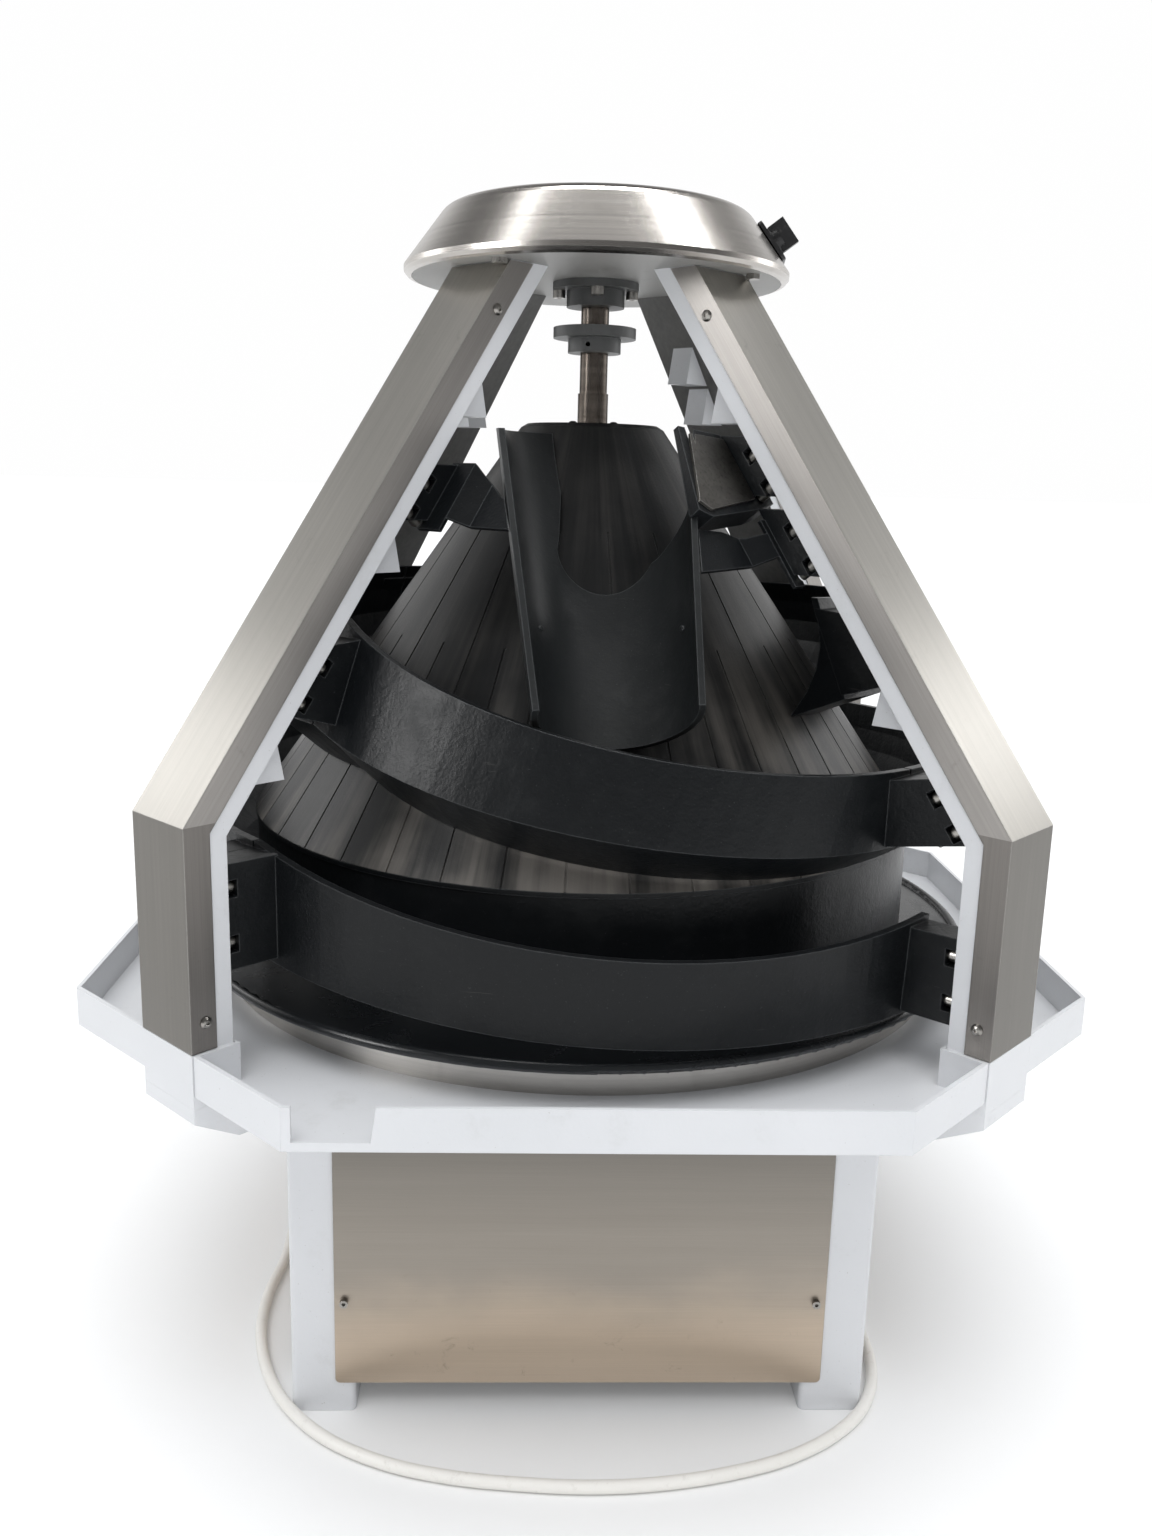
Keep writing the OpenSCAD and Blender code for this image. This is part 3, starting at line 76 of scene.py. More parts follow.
# The cord's route repeats part.scad's points: gland, floor, coil, and the straight end in the plug
CABLE_D = 12.5
GLAND_END = 294 + 2 + 22 + 32
FLOOR = [[-231, 472], [-282, 432], [-318, 375], [-337, 308], [-346, 240], [-351, 170], [-352, 100], [-350, 30],
    [-348, -40], [-354, -105], [-350, -172], [-331, -238], [-298, -296], [-250, -343], [-190, -375], [-126, -393],
    [-60, -402], [8, -406], [75, -402], [140, -390], [202, -370], [257, -338], [298, -295], [320, -238],
    [323, -172], [317, -105], [311, -38], [310, 30], [313, 98], [317, 166], [321, 234], [324, 302]]
COIL_XY = (240, 395)
PITCH = CABLE_D + 0.9
TURNS = 4.25
COIL_Z = CABLE_D / 2 + 1.3
COIL_MID = 70
COIL_OUT = COIL_MID + PITCH * TURNS / 4
COIL_IN = COIL_MID - PITCH * TURNS / 4
LAYER = CABLE_D + 0.6
FLOOR_Z = CABLE_D / 2 + 0.25
CURVE_STEPS = 6
COIL_STEPS = 48
CORD_SIDES = 20


def coil_at(turn):
    half = TURNS / 2
    off = abs(turn - half)
    r = COIL_IN + (COIL_OUT - COIL_IN) * off / half
    c = min(1, max(0, (turn - half) * 2 + 0.5))
    a = 2 * math.pi * turn
    return Vector((COIL_XY[0] + r * math.cos(a), COIL_XY[1] + r * math.sin(a), COIL_Z + LAYER * c * c * (3 - 2 * c)))


def smooth_curve(points, steps):
    """A Catmull-Rom curve through the points."""
    out = []
    last = len(points) - 1
    for i in range(last):
        a, b, c, d = points[max(0, i - 1)], points[i], points[i + 1], points[min(last, i + 2)]
        for k in range(steps):
            t = k / steps
            out.append(0.5 * (2 * b + (c - a) * t + (2 * a - 5 * b + 4 * c - d) * t * t
                + (3 * b - a - 3 * c + d) * t ** 3))
    return out + [points[-1]]


def make_tube(name, line, radius, sides):
    """A capped mesh tube along the line, whose rings twist as little as possible."""
    bm = bmesh.new()
    ahead = (line[1] - line[0]).normalized()
    side = ahead.orthogonal().normalized()
    rings = []
    for i, p in enumerate(line):
        now = (line[min(len(line) - 1, i + 1)] - line[max(0, i - 1)]).normalized()
        side = ahead.rotation_difference(now) @ side
        side = (side - side.dot(now) * now).normalized()
        ahead = now
        up = now.cross(side)
        turns = [2 * math.pi * k / sides for k in range(sides)]
        rings.append([bm.verts.new(p + radius * (math.cos(t) * side + math.sin(t) * up)) for t in turns])
    for a, b in zip(rings, rings[1:]):
        for k in range(sides):
            n = (k + 1) % sides
            bm.faces.new((a[k], a[n], b[n], b[k])).smooth = True
    bm.faces.new(list(reversed(rings[0])))
    bm.faces.new(rings[-1])
    mesh = bpy.data.meshes.new(name)
    bm.to_mesh(mesh)
    bm.free()
    tube = bpy.data.objects.new(name, mesh)
    scene.collection.objects.link(tube)
    return tube


def make_cord():
    start = Vector((COIL_XY[0] + COIL_OUT, COIL_XY[1], COIL_Z))
    route = [Vector(p) for p in [(-130, GLAND_END, 95), (-130, GLAND_END + CABLE_D, 95), (-134, 407, 79),
        (-148, 450, 40), (-182, 480, 12)]]
    route += [Vector((x, y, FLOOR_Z)) for x, y in FLOOR]
    route += [start - Vector((0, 2.2 * CABLE_D, 0)), start - Vector((0, CABLE_D, 0))]
    line = smooth_curve(route, CURVE_STEPS)
    for p in line:
        p.z = max(p.z, FLOOR_Z)
    coil = [coil_at(i / COIL_STEPS) for i in range(round(TURNS * COIL_STEPS) + 1)]
    line += coil + [coil[-1] - Vector((12 * k, 0, 0)) for k in (1, 2, 3)] + [coil[-1] - Vector((40, 0, 0))]
    line = [p * MM for p in line]
    cord = make_tube("supply_cord", line, CABLE_D / 2 * MM, CORD_SIDES)
    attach(cord, "frame")
    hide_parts("supply_cable", "cable_coil")
    return cord


cord = make_cord()


# Floor, world and lamps
def rgb(r, g, b):
    """An sRGB colour, 0 to 255, as linear numbers."""
    return tuple(c / 255 / 12.92 if c <= 10 else ((c / 255 + 0.055) / 1.055) ** 2.4 for c in (r, g, b)) + (1.0,)


class Mat:
    """One node material, with short names for the nodes that it uses."""

    def __init__(self, name, tree=None):
        if tree is None:
            self.m = bpy.data.materials.new(name)
            self.m.use_nodes = True
            tree = self.m.node_tree
        self.t = tree
        self.t.nodes.clear()

    def n(self, kind, **props):
        node = self.t.nodes.new(kind)
        for key, value in props.items():
            setattr(node, key, value)
        return node

    def put(self, socket, value):
        if isinstance(value, bpy.types.NodeSocket):
            self.t.links.new(value, socket)
        else:
            socket.default_value = value

    def surface(self, metallic=0.0, ior=1.5, coat=0.0, coat_roughness=0.1, anisotropic=0.0, specular=0.5):
        out = self.n("ShaderNodeOutputMaterial")
        self.p = self.n("ShaderNodeBsdfPrincipled")
        self.t.links.new(self.p.outputs[0], out.inputs[0])
        for key, value in (("Metallic", metallic), ("IOR", ior), ("Coat Weight", coat),
                ("Coat Roughness", coat_roughness), ("Anisotropic", anisotropic), ("Specular IOR Level", specular)):
            self.p.inputs[key].default_value = value
        self.xyz = self.n("ShaderNodeTexCoord").outputs["Object"]
        split = self.n("ShaderNodeSeparateXYZ")
        self.put(split.inputs[0], self.xyz)
        self.x, self.y, self.z = split.outputs
        return self

    def math(self, op, a, b=0.0, c=0.0, clamp=False):
        node = self.n("ShaderNodeMath", operation=op, use_clamp=clamp)
        for socket, value in zip(node.inputs, (a, b, c)):
            self.put(socket, value)
        return node.outputs[0]

    def add(self, a, b):
        return self.math("ADD", a, b)

    def mul(self, a, b):
        return self.math("MULTIPLY", a, b)

    def lerp(self, k, a, b):
        return self.add(a, self.mul(k, self.math("SUBTRACT", b, a)))

    def vec(self, x, y, z):
        node = self.n("ShaderNodeCombineXYZ")
        for socket, value in zip(node.inputs, (x, y, z)):
            self.put(socket, value)
        return node.outputs[0]

    def stretched(self, sx, sy, sz):
        return self.vec(self.mul(self.x, sx), self.mul(self.y, sy), self.mul(self.z, sz))

    def noise(self, where, scale, detail=3.0, rough=0.55, bend=0.0):
        node = self.n("ShaderNodeTexNoise")
        self.put(node.inputs["Vector"], where)
        node.inputs["Scale"].default_value = scale
        node.inputs["Detail"].default_value = detail
        node.inputs["Roughness"].default_value = rough
        node.inputs["Distortion"].default_value = bend
        return node.outputs[0]

    def span(self, value, a, b, low=0.0, high=1.0, smooth=True):
        node = self.n("ShaderNodeMapRange", interpolation_type="SMOOTHSTEP" if smooth else "LINEAR")
        node.clamp = True
        for socket, v in zip(node.inputs, (value, a, b, low, high)):
            self.put(socket, v)
        return node.outputs[0]

    def mix(self, k, a, b, blend="MIX"):
        node = self.n("ShaderNodeMix", data_type="RGBA", blend_type=blend)
        self.put(node.inputs[0], k)
        self.put(node.inputs[6], a)
        self.put(node.inputs[7], b)
        return node.outputs[2]

    def shade(self, colour, k):
        """The colour times a number."""
        return self.mix(1.0, colour, self.vec(k, k, k), "MULTIPLY")

    def radius(self):
        return self.math("SQRT", self.add(self.mul(self.x, self.x), self.mul(self.y, self.y)))

    def soft_edge(self, radius, samples=2):
        """Rounds the normal at edges, and gives a mask of where they are."""
        node = self.n("ShaderNodeBevel", samples=samples)
        node.inputs["Radius"].default_value = radius
        dot = self.n("ShaderNodeVectorMath", operation="DOT_PRODUCT")
        self.put(dot.inputs[0], node.outputs[0])
        self.put(dot.inputs[1], self.n("ShaderNodeNewGeometry").outputs["Normal"])
        return node.outputs[0], self.span(dot.outputs["Value"], 0.99, 0.86)

    def bump(self, height, distance, normal=None, strength=1.0):
        node = self.n("ShaderNodeBump")
        node.inputs["Strength"].default_value = strength
        node.inputs["Distance"].default_value = distance
        self.put(node.inputs["Height"], height)
        if normal is not None:
            self.put(node.inputs["Normal"], normal)
        return node.outputs[0]

    def done(self, colour, roughness, normal=None):
        self.put(self.p.inputs["Base Color"], colour)
        self.put(self.p.inputs["Roughness"], roughness)
        if normal is not None:
            self.put(self.p.inputs["Normal"], normal)
        return self.m


def make_floor():
    mesh = bpy.data.meshes.new("studio_floor")
    bm = bmesh.new()
    bmesh.ops.create_grid(bm, x_segments=2, y_segments=2, size=90)
    bm.to_mesh(mesh)
    bm.free()
    floor = bpy.data.objects.new("studio_floor", mesh)
    floor.location.z = -0.0003
    scene.collection.objects.link(floor)
    m = Mat("studio_floor")
    out = m.n("ShaderNodeOutputMaterial")
    matt = m.n("ShaderNodeBsdfDiffuse")
    glow = m.n("ShaderNodeEmission")
    matt.inputs["Color"].default_value = (0.93, 0.93, 0.93, 1)
    glow.inputs["Color"].default_value = (0.962, 0.962, 0.962, 1)
    path = m.n("ShaderNodeLightPath")
    seen = m.math("MAXIMUM", path.outputs["Is Camera Ray"],
        m.math("MAXIMUM", path.outputs["Is Glossy Ray"], path.outputs["Is Transmission Ray"]))
    mixed = m.n("ShaderNodeMixShader")
    m.put(mixed.inputs[0], m.mul(seen, 0.1))
    m.put(mixed.inputs[1], matt.outputs[0])
    m.put(mixed.inputs[2], glow.outputs[0])
    m.put(out.inputs[0], mixed.outputs[0])
    mesh.materials.append(m.m)


def make_world():
    world = bpy.data.worlds.new("studio")
    scene.world = world
    world.use_nodes = True
    m = Mat("studio", world.node_tree)
    out = m.n("ShaderNodeOutputWorld")
    light = m.n("ShaderNodeBackground")
    light.inputs["Color"].default_value = (0.97, 0.985, 1.0, 1)
    shown = m.n("ShaderNodeBackground")
    split = m.n("ShaderNodeSeparateXYZ")
    m.put(split.inputs[0], m.n("ShaderNodeTexCoord").outputs["Generated"])
    m.put(light.inputs["Strength"], m.span(split.outputs[2], 0.0, 1.0, 0.42, 1.08, False))
    path = m.n("ShaderNodeLightPath")
    wall = m.mul(m.span(split.outputs[1], -0.3, 0.3), m.span(split.outputs[2], 0.74, 0.36))
    ceiling = m.mul(m.span(split.outputs[2], 0.9, 0.985), 0.34)
    room = m.add(m.add(0.18, m.mul(wall, 0.782)), ceiling)
    level = m.lerp(path.outputs["Is Glossy Ray"], 0.995, room)
    m.put(shown.inputs["Color"], m.vec(level, level, level))
    seen = m.math("MAXIMUM", path.outputs["Is Camera Ray"],
        m.math("MAXIMUM", path.outputs["Is Glossy Ray"], path.outputs["Is Transmission Ray"]))
    mixed = m.n("ShaderNodeMixShader")
    m.put(mixed.inputs[0], seen)
    m.put(mixed.inputs[1], light.outputs[0])
    m.put(mixed.inputs[2], shown.outputs[0])
    m.put(out.inputs[0], mixed.outputs[0])


def lamp(name, kind, place, aim, **props):
    """The sun and the world light the object; the boxes and tubes only show in what is glossy."""
    data = bpy.data.lights.new(name, kind)
    for key, value in props.items():
        setattr(data, key, value)
    o = bpy.data.objects.new(name, data)
    scene.collection.objects.link(o)
    o.location = place
    o.rotation_euler = (Vector(aim) - Vector(place)).to_track_quat("-Z", "Y").to_euler()
    o.visible_diffuse = kind == "SUN"
    o.visible_glossy = kind != "SUN"


make_floor()
make_world()
lamp("sun_soft", "SUN", (-0.25, -1.2, 4.6), (0, 0, 0.5), energy=1.5, angle=math.radians(50))
lamp("box_front", "AREA", (-2.7, -1.57, 1.8), (-0.1, -0.3, 0.7), energy=42, shape="RECTANGLE",
    size=1.0, size_y=1.0)
for side, x, energy in (("left", -0.62, 8), ("right", 0.52, 32)):
    lamp("tube_" + side, "AREA", (x, 0.1, 3.45), (x * 0.2, 0.1, 1.1), energy=energy, shape="RECTANGLE", size=0.2,
        size_y=2.4)
for side, x in (("left", -3.0), ("right", 3.0)):
    lamp("box_" + side, "AREA", (x, 1.05, 1.85), (0, 0, 0.75), energy=6.5, shape="RECTANGLE", size=0.9,
        size_y=0.65)


# Materials. The columns lean in above the knee. INNER_LOW and INNER_TOP are the distances of their inner faces'
# planes below and above it, in metres. The covers' colours by side and height are painted light and shade, and the
# panels' darker top and warm light band at the bottom are painted reflection of the floor; both are fitted to the
# photograph's light. The cone's darker top is fitted to the photograph's light as much as to the object.
LEAN = math.radians(36.65)
INNER_LOW = 0.4945
INNER_TOP = 0.7757


def white_paint(name, bare_inside=False):
    """The one white enamel of the machine. The back columns' inner faces are read as bare steel."""
    m = Mat(name).surface(coat=0.35, coat_roughness=0.12)
    normal, edge = m.soft_edge(0.0012)
    cloud = m.noise(m.xyz, 5, 4)
    grime = m.span(m.noise(m.xyz, 13, 6, 0.7), 0.56, 0.8)
    colour = m.mix(cloud, rgb(214, 216, 219), rgb(229, 230, 233))
    colour = m.mix(m.mul(grime, 0.4), colour, rgb(192, 193, 191))
    speck = m.span(m.noise(m.xyz, 420, 2), 0.72, 0.78)
    colour = m.mix(m.mul(speck, 0.6), colour, rgb(150, 146, 138))
    # Lighter edges: painted highlight.
    colour = m.mix(m.mul(edge, 0.45), colour, rgb(238, 240, 242))
    if bare_inside:
        r = m.mul(m.add(m.math("ABSOLUTE", m.x), m.math("ABSOLUTE", m.y)), math.sqrt(0.5))
        across = m.add(m.mul(r, math.cos(LEAN)), m.mul(m.z, math.sin(LEAN)))
        low = m.span(m.math("ABSOLUTE", m.math("SUBTRACT", r, INNER_LOW)), 0.0016, 0.0008)
        top = m.span(m.math("ABSOLUTE", m.math("SUBTRACT", across, INNER_TOP)), 0.0016, 0.0008)
        bare = m.lerp(m.span(m.z, 0.6340, 0.6356), low, top)
        grain = m.noise(m.stretched(160, 160, 22), 1, 4, 0.7)
        colour = m.mix(bare, colour, m.mix(grain, rgb(84, 84, 83), rgb(122, 121, 118)))
    rough = m.add(0.3, m.mul(m.noise(m.xyz, 9, 3), 0.22))
    return m.done(colour, rough, m.bump(m.noise(m.xyz, 260, 2), 0.00012, normal))


def column_steel():
    m = Mat("column_steel").surface(metallic=1.0, anisotropic=0.55)
    normal, edge = m.soft_edge(0.0014)
    ax, ay = m.math("ABSOLUTE", m.x), m.math("ABSOLUTE", m.y)
    r = m.mul(m.add(ax, ay), math.sqrt(0.5))
    t = m.mul(m.math("SUBTRACT", ax, ay), math.sqrt(0.5))
    across = m.add(m.mul(r, math.cos(LEAN)), m.mul(m.z, math.sin(LEAN)))
    along = m.math("SUBTRACT", m.mul(m.z, math.cos(LEAN)), m.mul(r, math.sin(LEAN)))
    k = m.span(m.z, 0.6486, 0.6490)
    a, s = m.lerp(k, r, across), m.lerp(k, m.z, along)
    grain = m.noise(m.vec(m.mul(t, 1500), m.mul(a, 1500), m.mul(s, 9)), 1, 4, 0.7)
    coarse = m.noise(m.vec(m.mul(t, 260), m.mul(a, 260), m.mul(s, 3)), 1, 3)
    cloud = m.noise(m.vec(m.mul(t, 7), m.mul(a, 7), m.mul(s, 4)), 1, 3)
    # The wide and narrow faces, and the cover below and above the knee, get different colours of the one steel:
    # painted light and shade.
    facing = m.n("ShaderNodeSeparateXYZ")
    m.put(facing.inputs[0], m.n("ShaderNodeNewGeometry").outputs["Normal"])
    turned = m.mul(facing.outputs[1], m.math("SIGN", m.mul(m.x, m.y)))
    narrow = m.math("ABSOLUTE", m.mul(m.math("SUBTRACT", facing.outputs[0], turned), math.sqrt(0.5)))
    wide_painted_light = m.mix(k, rgb(124, 121, 116), rgb(192, 189, 183))
    colour = m.mix(m.span(narrow, 0.8, 0.98), wide_painted_light, m.mix(k, rgb(136, 132, 128), rgb(172, 168, 164)))
    colour = m.shade(colour, m.add(0.72, m.mul(grain, 0.36)))
    colour = m.shade(colour, m.add(0.9, m.mul(coarse, 0.2)))
    colour = m.shade(colour, m.add(0.86, m.mul(cloud, 0.28)))
    smear = m.span(m.noise(m.vec(m.mul(t, 22), m.mul(a, 22), m.mul(s, 34)), 1, 5, 0.75, 0.8), 0.6, 0.78)
    colour = m.mix(m.mul(smear, 0.22), colour, rgb(92, 88, 82))
    # Lighter edges: painted highlight.
    colour = m.mix(m.mul(edge, 0.6), colour, rgb(214, 212, 208))
    rough = m.add(0.27, m.mul(grain, 0.16))
    rough = m.add(rough, m.mul(smear, 0.08))
    return m.done(colour, rough, m.bump(grain, 0.00004, normal, 0.7))


def spun_steel(name, dark, light, roughness):
    m = Mat(name).surface(metallic=1.0, anisotropic=0.75)
    normal, edge = m.soft_edge(0.001)
    r = m.radius()
    wobble = m.mul(m.noise(m.xyz, 4, 2), 0.0004)
    rings = m.noise(m.vec(m.mul(m.add(r, wobble), 1500), 0, m.mul(m.add(m.z, wobble), 1500)), 1, 3, 0.7)
    broad = m.noise(m.vec(m.mul(r, 150), 0, m.mul(m.z, 150)), 1, 2)
    cloud = m.noise(m.xyz, 8, 4)
    colour = m.mix(cloud, dark, light)
    colour = m.shade(colour, m.add(0.66, m.mul(rings, 0.54)))
    colour = m.shade(colour, m.add(0.84, m.mul(broad, 0.3)))
    streak = m.span(m.noise(m.stretched(30, 30, 6), 1, 4), 0.58, 0.75)
    colour = m.mix(m.mul(streak, 0.14), colour, rgb(110, 104, 98))
    # Lighter edges: painted highlight.
    colour = m.mix(m.mul(edge, 0.5), colour, rgb(225, 223, 220))
    tangent = m.n("ShaderNodeTangent", direction_type="RADIAL", axis="Z")
    m.put(m.p.inputs["Tangent"], tangent.outputs[0])
    rough = m.add(roughness, m.mul(rings, 0.12))
    return m.done(colour, rough, m.bump(rings, 0.00003, normal, 0.6))


def panel_steel():
    m = Mat("panel_steel").surface(metallic=1.0, anisotropic=0.4)
    normal, edge = m.soft_edge(0.0012)
    grain = m.noise(m.stretched(7, 7, 1300), 1, 4, 0.7)
    bands = m.noise(m.stretched(1.5, 1.5, 60), 1, 3)
    cloud = m.noise(m.stretched(5, 5, 9), 1, 4)
    # The top is darker and a warm light band runs along the bottom: painted reflection of the floor.
    low = m.span(m.add(m.z, m.mul(m.math("SUBTRACT", cloud, 0.5), 0.09)), 0.175, 0.085)
    top = m.mix(m.span(m.z, 0.14, 0.36), rgb(158, 151, 142), rgb(117, 114, 109))
    colour = m.mix(low, top, rgb(198, 182, 164))
    colour = m.shade(colour, m.add(0.84, m.mul(grain, 0.24)))
    colour = m.shade(colour, m.add(0.93, m.mul(bands, 0.14)))
    stain = m.mul(m.span(m.noise(m.xyz, 24, 6, 0.75, 0.6), 0.6, 0.74), m.span(m.z, 0.2, 0.05))
    colour = m.mix(m.mul(stain, 0.4), colour, rgb(104, 92, 78))
    mark = m.span(m.noise(m.stretched(140, 140, 60), 1, 3), 0.76, 0.82)
    colour = m.mix(m.mul(mark, 0.3), colour, rgb(98, 92, 84))
    # Lighter edges: painted highlight.
    colour = m.mix(m.mul(edge, 0.5), colour, rgb(216, 212, 206))
    rough = m.add(0.3, m.mul(grain, 0.14))
    wave = m.bump(m.noise(m.xyz, 7, 2), 0.0007, normal, 0.6)
    return m.done(colour, m.add(rough, m.mul(stain, 0.12)), m.bump(grain, 0.00003, wave, 0.6))


def worn_plate():
    m = Mat("worn_plate").surface(metallic=1.0)
    normal, edge = m.soft_edge(0.0008)
    cloud = m.noise(m.xyz, 90, 6, 0.72, 0.3)
    spots = m.span(m.noise(m.xyz, 260, 4, 0.7), 0.5, 0.68)
    colour = m.mix(cloud, rgb(70, 69, 67), rgb(134, 131, 126))
    colour = m.mix(m.mul(spots, 0.4), colour, rgb(52, 51, 49))
    # Lighter edges: painted highlight.
    colour = m.mix(m.mul(edge, 0.8), colour, rgb(205, 203, 198))
    rough = m.add(0.38, m.mul(cloud, 0.25))
    return m.done(colour, rough, m.bump(cloud, 0.00008, normal, 0.6))


def fastener(name, dark, light, roughness):
    m = Mat(name).surface(metallic=1.0)
    normal, edge = m.soft_edge(0.0005)
    cloud = m.noise(m.xyz, 160, 4, 0.7)
    stain = m.span(m.noise(m.xyz, 60, 3), 0.55, 0.75)
    colour = m.mix(cloud, dark, light)
    colour = m.mix(m.mul(stain, 0.35), colour, rgb(72, 62, 52))
    # Lighter edges: painted highlight.
    colour = m.mix(m.mul(edge, 0.6), colour, rgb(224, 222, 218))
    return m.done(colour, m.add(roughness, m.mul(cloud, 0.2)), m.bump(cloud, 0.00008, normal, 0.6))


def cast_paint(name, dark, light, roughness):
    m = Mat(name).surface(coat=0.15, coat_roughness=0.3)
    normal, edge = m.soft_edge(0.0009)
    cloud = m.noise(m.xyz, 26, 4)
    sand = m.noise(m.xyz, 520, 3, 0.6)
    chips = m.mul(edge, m.span(m.noise(m.xyz, 180, 4, 0.7), 0.5, 0.62))
    grease = m.span(m.noise(m.xyz, 34, 5, 0.7), 0.58, 0.76)
    colour = m.mix(cloud, dark, light)
    colour = m.mix(m.mul(grease, 0.4), colour, rgb(72, 70, 66))
    # Lighter edges: painted highlight; the chips on the next line are wear.
    colour = m.mix(m.mul(edge, 0.3), colour, rgb(168, 169, 168))
    colour = m.mix(m.mul(chips, 0.7), colour, rgb(196, 194, 190))
    return m.done(colour, m.add(roughness, m.mul(cloud, 0.15)), m.bump(sand, 0.00025, normal, 0.7))


def black_coat(name, base, dusty, roughness, edge_highlight_level=0.5, peel=0.00022, specular=0.5):
    m = Mat(name).surface(specular=specular)
    normal, edge = m.soft_edge(0.0016)
    cloud = m.noise(m.xyz, 6, 5, 0.6)
    fine = m.noise(m.xyz, 330, 3, 0.6)
    dust = m.span(m.noise(m.xyz, 17, 6, 0.72, 0.4), 0.48, 0.8)
    speck = m.span(m.noise(m.xyz, 700, 2), 0.7, 0.76)
    scratch = m.mul(m.span(m.noise(m.stretched(26, 26, 420), 1, 3, 0.6), 0.68, 0.76),
        m.span(m.noise(m.xyz, 9, 2), 0.45, 0.62))
    colour = m.mix(cloud, base, m.shade(base, 1.35))
    colour = m.mix(m.mul(dust, 0.45), colour, dusty)
    colour = m.mix(m.mul(speck, 0.25), colour, rgb(120, 122, 122))
    colour = m.mix(m.mul(scratch, 0.3), colour, rgb(84, 84, 82))
    # Lighter edges: painted highlight.
    colour = m.mix(m.mul(edge, edge_highlight_level), colour, rgb(116, 119, 121))
    rough = m.add(roughness, m.mul(m.math("SUBTRACT", cloud, 0.5), 0.22))
    rough = m.add(rough, m.mul(dust, 0.12))
    height = m.add(m.mul(fine, 1.0), m.mul(m.noise(m.xyz, 90, 2), 1.4))
    return m.done(colour, rough, m.bump(height, peel, normal, 0.8))


def cone_coat():
    m = Mat("cone_coat").surface(specular=0.5)
    normal, edge = m.soft_edge(0.0009)
    r = m.radius()
    ux, uy = m.math("DIVIDE", m.x, r), m.math("DIVIDE", m.y, r)
    streak = m.noise(m.vec(m.mul(ux, 12), m.mul(uy, 12), m.mul(m.z, 2.6)), 1, 4, 0.62)
    hair = m.noise(m.vec(m.mul(ux, 190), m.mul(uy, 190), m.mul(m.z, 5)), 1, 4, 0.7)
    cloud = m.noise(m.xyz, 7, 4)
    worn = m.span(m.add(streak, m.mul(m.math("SUBTRACT", cloud, 0.5), 0.9)), 0.36, 0.8)
    # Scaled down with height, so the cone is darker towards its top.
    worn = m.mul(worn, m.span(m.z, 0.84, 0.5, 0.12, 1.0))
    colour = m.mix(worn, rgb(17, 18, 19), rgb(118, 113, 107))
    colour = m.shade(colour, m.add(0.88, m.mul(hair, 0.24)))
    flour = m.mul(m.span(m.noise(m.vec(m.mul(ux, 60), m.mul(uy, 60), m.mul(m.z, 16)), 1, 5, 0.75), 0.56, 0.75), worn)
    colour = m.mix(m.mul(flour, 0.35), colour, rgb(118, 112, 103))
    # Lighter edges: painted highlight.
    colour = m.mix(m.mul(edge, 0.35), colour, rgb(104, 104, 102))
    rough = m.add(0.36, m.mul(hair, 0.12))
    fine = m.noise(m.xyz, 300, 3, 0.6)
    return m.done(colour, rough, m.bump(m.add(fine, m.mul(hair, 0.8)), 0.00018, normal, 0.7))


def shaft_steel():
    m = Mat("shaft_steel").surface(metallic=1.0, anisotropic=0.5)
    normal, edge = m.soft_edge(0.0006)
    tangent = m.n("ShaderNodeTangent", direction_type="RADIAL", axis="Z")
    m.put(m.p.inputs["Tangent"], tangent.outputs[0])
    bands = m.noise(m.stretched(3, 3, 170), 1, 4, 0.7)
    stain = m.span(m.noise(m.stretched(24, 24, 46), 1, 4, 0.7, 0.5), 0.46, 0.68)
    fine = m.noise(m.stretched(20, 20, 2600), 1, 2)
    colour = m.mix(bands, rgb(70, 63, 58), rgb(138, 130, 122))
    colour = m.mix(m.mul(stain, 0.5), colour, rgb(66, 50, 40))
    # Lighter edges: painted highlight.
    colour = m.mix(m.mul(edge, 0.5), colour, rgb(200, 196, 190))
    return m.done(colour, m.add(0.14, m.mul(bands, 0.16)), m.bump(fine, 0.00002, normal, 0.6))


def plastic(name, dark, light, roughness, grain=0.00012, scale=600):
    m = Mat(name).surface()
    normal, edge = m.soft_edge(0.0006)
    cloud = m.noise(m.xyz, 40, 4)
    fine = m.noise(m.xyz, scale, 3, 0.6)
    colour = m.mix(cloud, dark, light)
    dust = m.span(m.noise(m.xyz, 110, 5, 0.7), 0.56, 0.76)
    colour = m.mix(m.mul(dust, 0.2), colour, rgb(150, 148, 142))
    # Lighter edges: painted highlight.
    colour = m.mix(m.mul(edge, 0.3), colour, m.shade(light, 1.4))
    return m.done(colour, m.add(roughness, m.mul(fine, 0.12)), m.bump(fine, grain, normal, 0.7))


def cable_pvc(name):
    m = Mat(name).surface(coat=0.1, coat_roughness=0.4)
    cloud = m.noise(m.xyz, 12, 4)
    dirt = m.span(m.noise(m.xyz, 75, 5, 0.72), 0.54, 0.78)
    # The underside, where the cord lies on the floor, is darker: painted shade.
    low = m.span(m.z, 0.0042, 0.0004)
    colour = m.mix(cloud, rgb(240, 237, 231), rgb(247, 245, 240))
    colour = m.mix(m.mul(dirt, 0.3), colour, rgb(168, 160, 144))
    colour = m.mix(m.mul(low, 0.3), colour, rgb(150, 142, 128))
    rough = m.add(0.38, m.mul(cloud, 0.15))
    return m.done(colour, rough, m.bump(m.noise(m.xyz, 340, 3), 0.00012, None, 0.6))


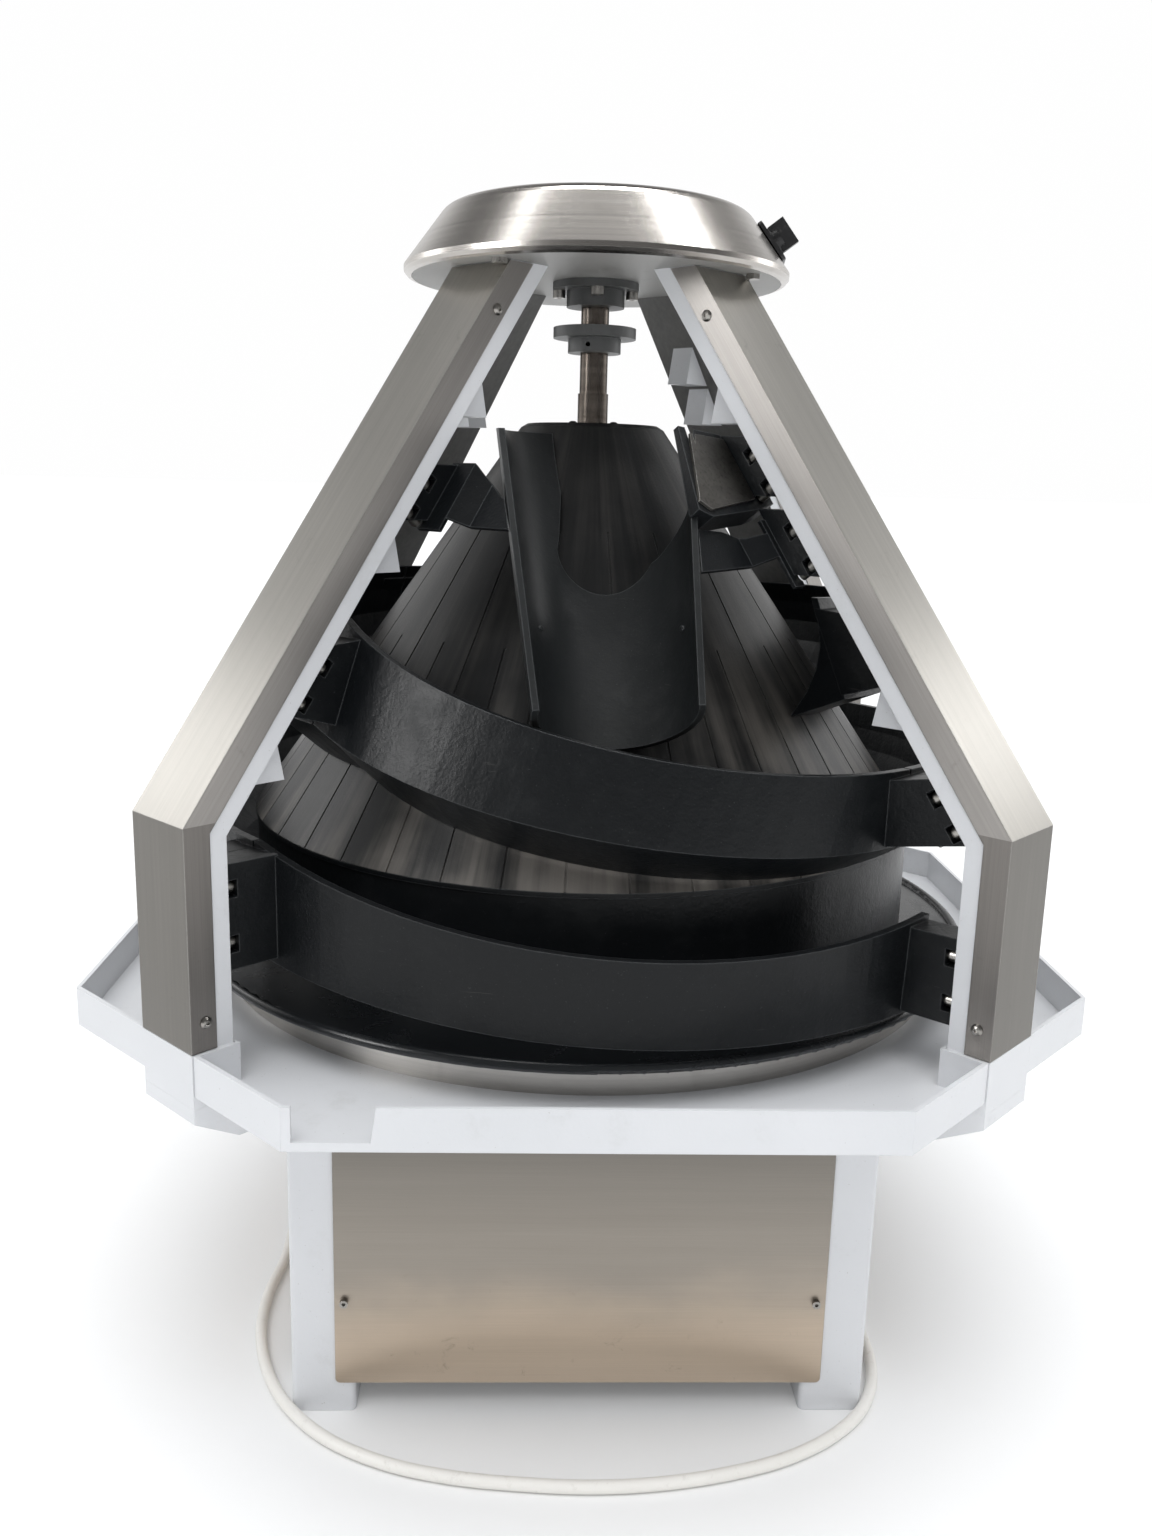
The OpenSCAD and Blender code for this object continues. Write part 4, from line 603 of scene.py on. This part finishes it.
def belt_rubber():
    m = Mat("belt_rubber").surface()
    normal, edge = m.soft_edge(0.0006)
    weave = m.noise(m.stretched(500, 500, 120), 1, 3)
    chalk = m.span(m.noise(m.xyz, 40, 5, 0.7), 0.5, 0.75)
    colour = m.mix(m.mul(chalk, 0.5), rgb(28, 28, 28), rgb(66, 64, 60))
    # Lighter edges: painted highlight.
    colour = m.mix(m.mul(edge, 0.4), colour, rgb(84, 82, 78))
    return m.done(colour, m.add(0.62, m.mul(weave, 0.2)), m.bump(weave, 0.0002, normal, 0.7))


WHITE = white_paint("white_paint")
BACK_COLUMN = white_paint("back_column_paint", True)
# The cap plate is the white enamel; this grey stands for the shade under the cap: painted shade.
UNDER_PAINTED_SHADE = cast_paint("under_painted_shade", rgb(146, 145, 142), rgb(160, 159, 156), 0.4)
# A darker copy of the grey paint for the top bearing under the cap: painted shade.
BEARING_PAINTED_SHADE = cast_paint("bearing_grey_painted_shade", rgb(56, 57, 57), rgb(70, 71, 70), 0.42)
COLUMN = column_steel()
CAP = spun_steel("cap_steel", rgb(182, 177, 172), rgb(196, 192, 187), 0.14)
RING = spun_steel("ring_steel", rgb(188, 184, 179), rgb(210, 207, 202), 0.28)
PANEL = panel_steel()
WORN = worn_plate()
SCREW = fastener("screw_steel", rgb(128, 125, 120), rgb(184, 181, 176), 0.2)
STUD = fastener("stud_steel", rgb(168, 165, 158), rgb(206, 204, 198), 0.22)
BLACK_BOLT = fastener("bolt_black", rgb(38, 38, 38), rgb(66, 65, 63), 0.34)
GREY = cast_paint("grey_paint", rgb(76, 77, 77), rgb(92, 93, 92), 0.42)
MOTOR = cast_paint("motor_paint", rgb(92, 97, 102), rgb(110, 115, 119), 0.38)
BLACK = black_coat("black_coat", rgb(15, 17, 19), rgb(34, 36, 37), 0.36, 0.6, 0.00035, 0.25)
CHUTE = black_coat("chute_coat", rgb(25, 27, 28), rgb(42, 43, 44), 0.34, 0.7, 0.00018, 0.36)
GLOSS = black_coat("flange_coat", rgb(26, 28, 30), rgb(44, 46, 47), 0.24, 0.6, 0.00006, 0.45)
CONE = cone_coat()
SHAFT = shaft_steel()
BLACK_PLASTIC = plastic("black_plastic", rgb(24, 24, 25), rgb(36, 36, 37), 0.34)
GREY_PLASTIC = plastic("grey_plastic", rgb(128, 130, 132), rgb(144, 146, 148), 0.42)
CREAM = cable_pvc("cable_pvc")
PLUG = cable_pvc("plug_pvc")
BELT = belt_rubber()

FINISH = {
    "legs": (WHITE, ["leg_front_left", "leg_front_right", "leg_back_left", "leg_back_right", "frame_rails",
        "support_arms", "tray", "column_front_left", "column_front_right"]),
    "back_columns": (BACK_COLUMN, ["column_back_left", "column_back_right"]),
    # The cap plate's grey is painted shade under the cap.
    "under": (UNDER_PAINTED_SHADE, ["cap_plate"]),
    # The top bearing's darker grey is painted shade under the cap.
    "bearing": (BEARING_PAINTED_SHADE, ["top_bearing"]),
    "covers": (COLUMN, ["column_covers"]),
    "cap": (CAP, ["cap_shell"]),
    "ring": (RING, ["collar_ring"]),
    "panels": (PANEL, ["panel_front", "panel_back", "panel_left", "panel_right"]),
    "worn": (WORN, ["guide_plate"]),
    "screws": (SCREW, ["panel_screws", "cover_screws", "cap_screws", "drive_bolts"]),
    "studs": (STUD, ["track_studs"]),
    "bolts": (BLACK_BOLT, ["cone_bolts"]),
    "grey": (GREY, ["drive_plate", "lower_bearing", "cone_spider", "cone_hub", "height_collar"]),
    "motor": (MOTOR, ["gear_motor", "driven_pulley", "motor_pulley"]),
    "black": (BLACK, ["track_upper_right", "track_upper_back", "track_upper_left", "track_upper_front",
        "track_lower_right", "track_lower_back", "track_lower_left", "track_lower_front", "chute_arm_left",
        "chute_arm_right", "infeed_guide", "drum"]),
    "chute": (CHUTE, ["chute"]),
    "gloss": (GLOSS, ["flange"]),
    "cone": (CONE, ["cone"]),
    "shaft": (SHAFT, ["main_shaft"]),
    "plastic": (BLACK_PLASTIC, ["switch_body", "switch_knob", "cable_tie"]),
    "gland": (GREY_PLASTIC, ["cable_gland"]),
    "plug": (PLUG, ["cable_plug", "supply_cable", "cable_coil"]),
    "belts": (BELT, ["drive_belts"]),
}
for material, names in FINISH.values():
    for name in names:
        data = nodes[name].data
        data.materials.clear()
        data.materials.append(material)
cord.data.materials.append(CREAM)

bpy.context.view_layer.update()
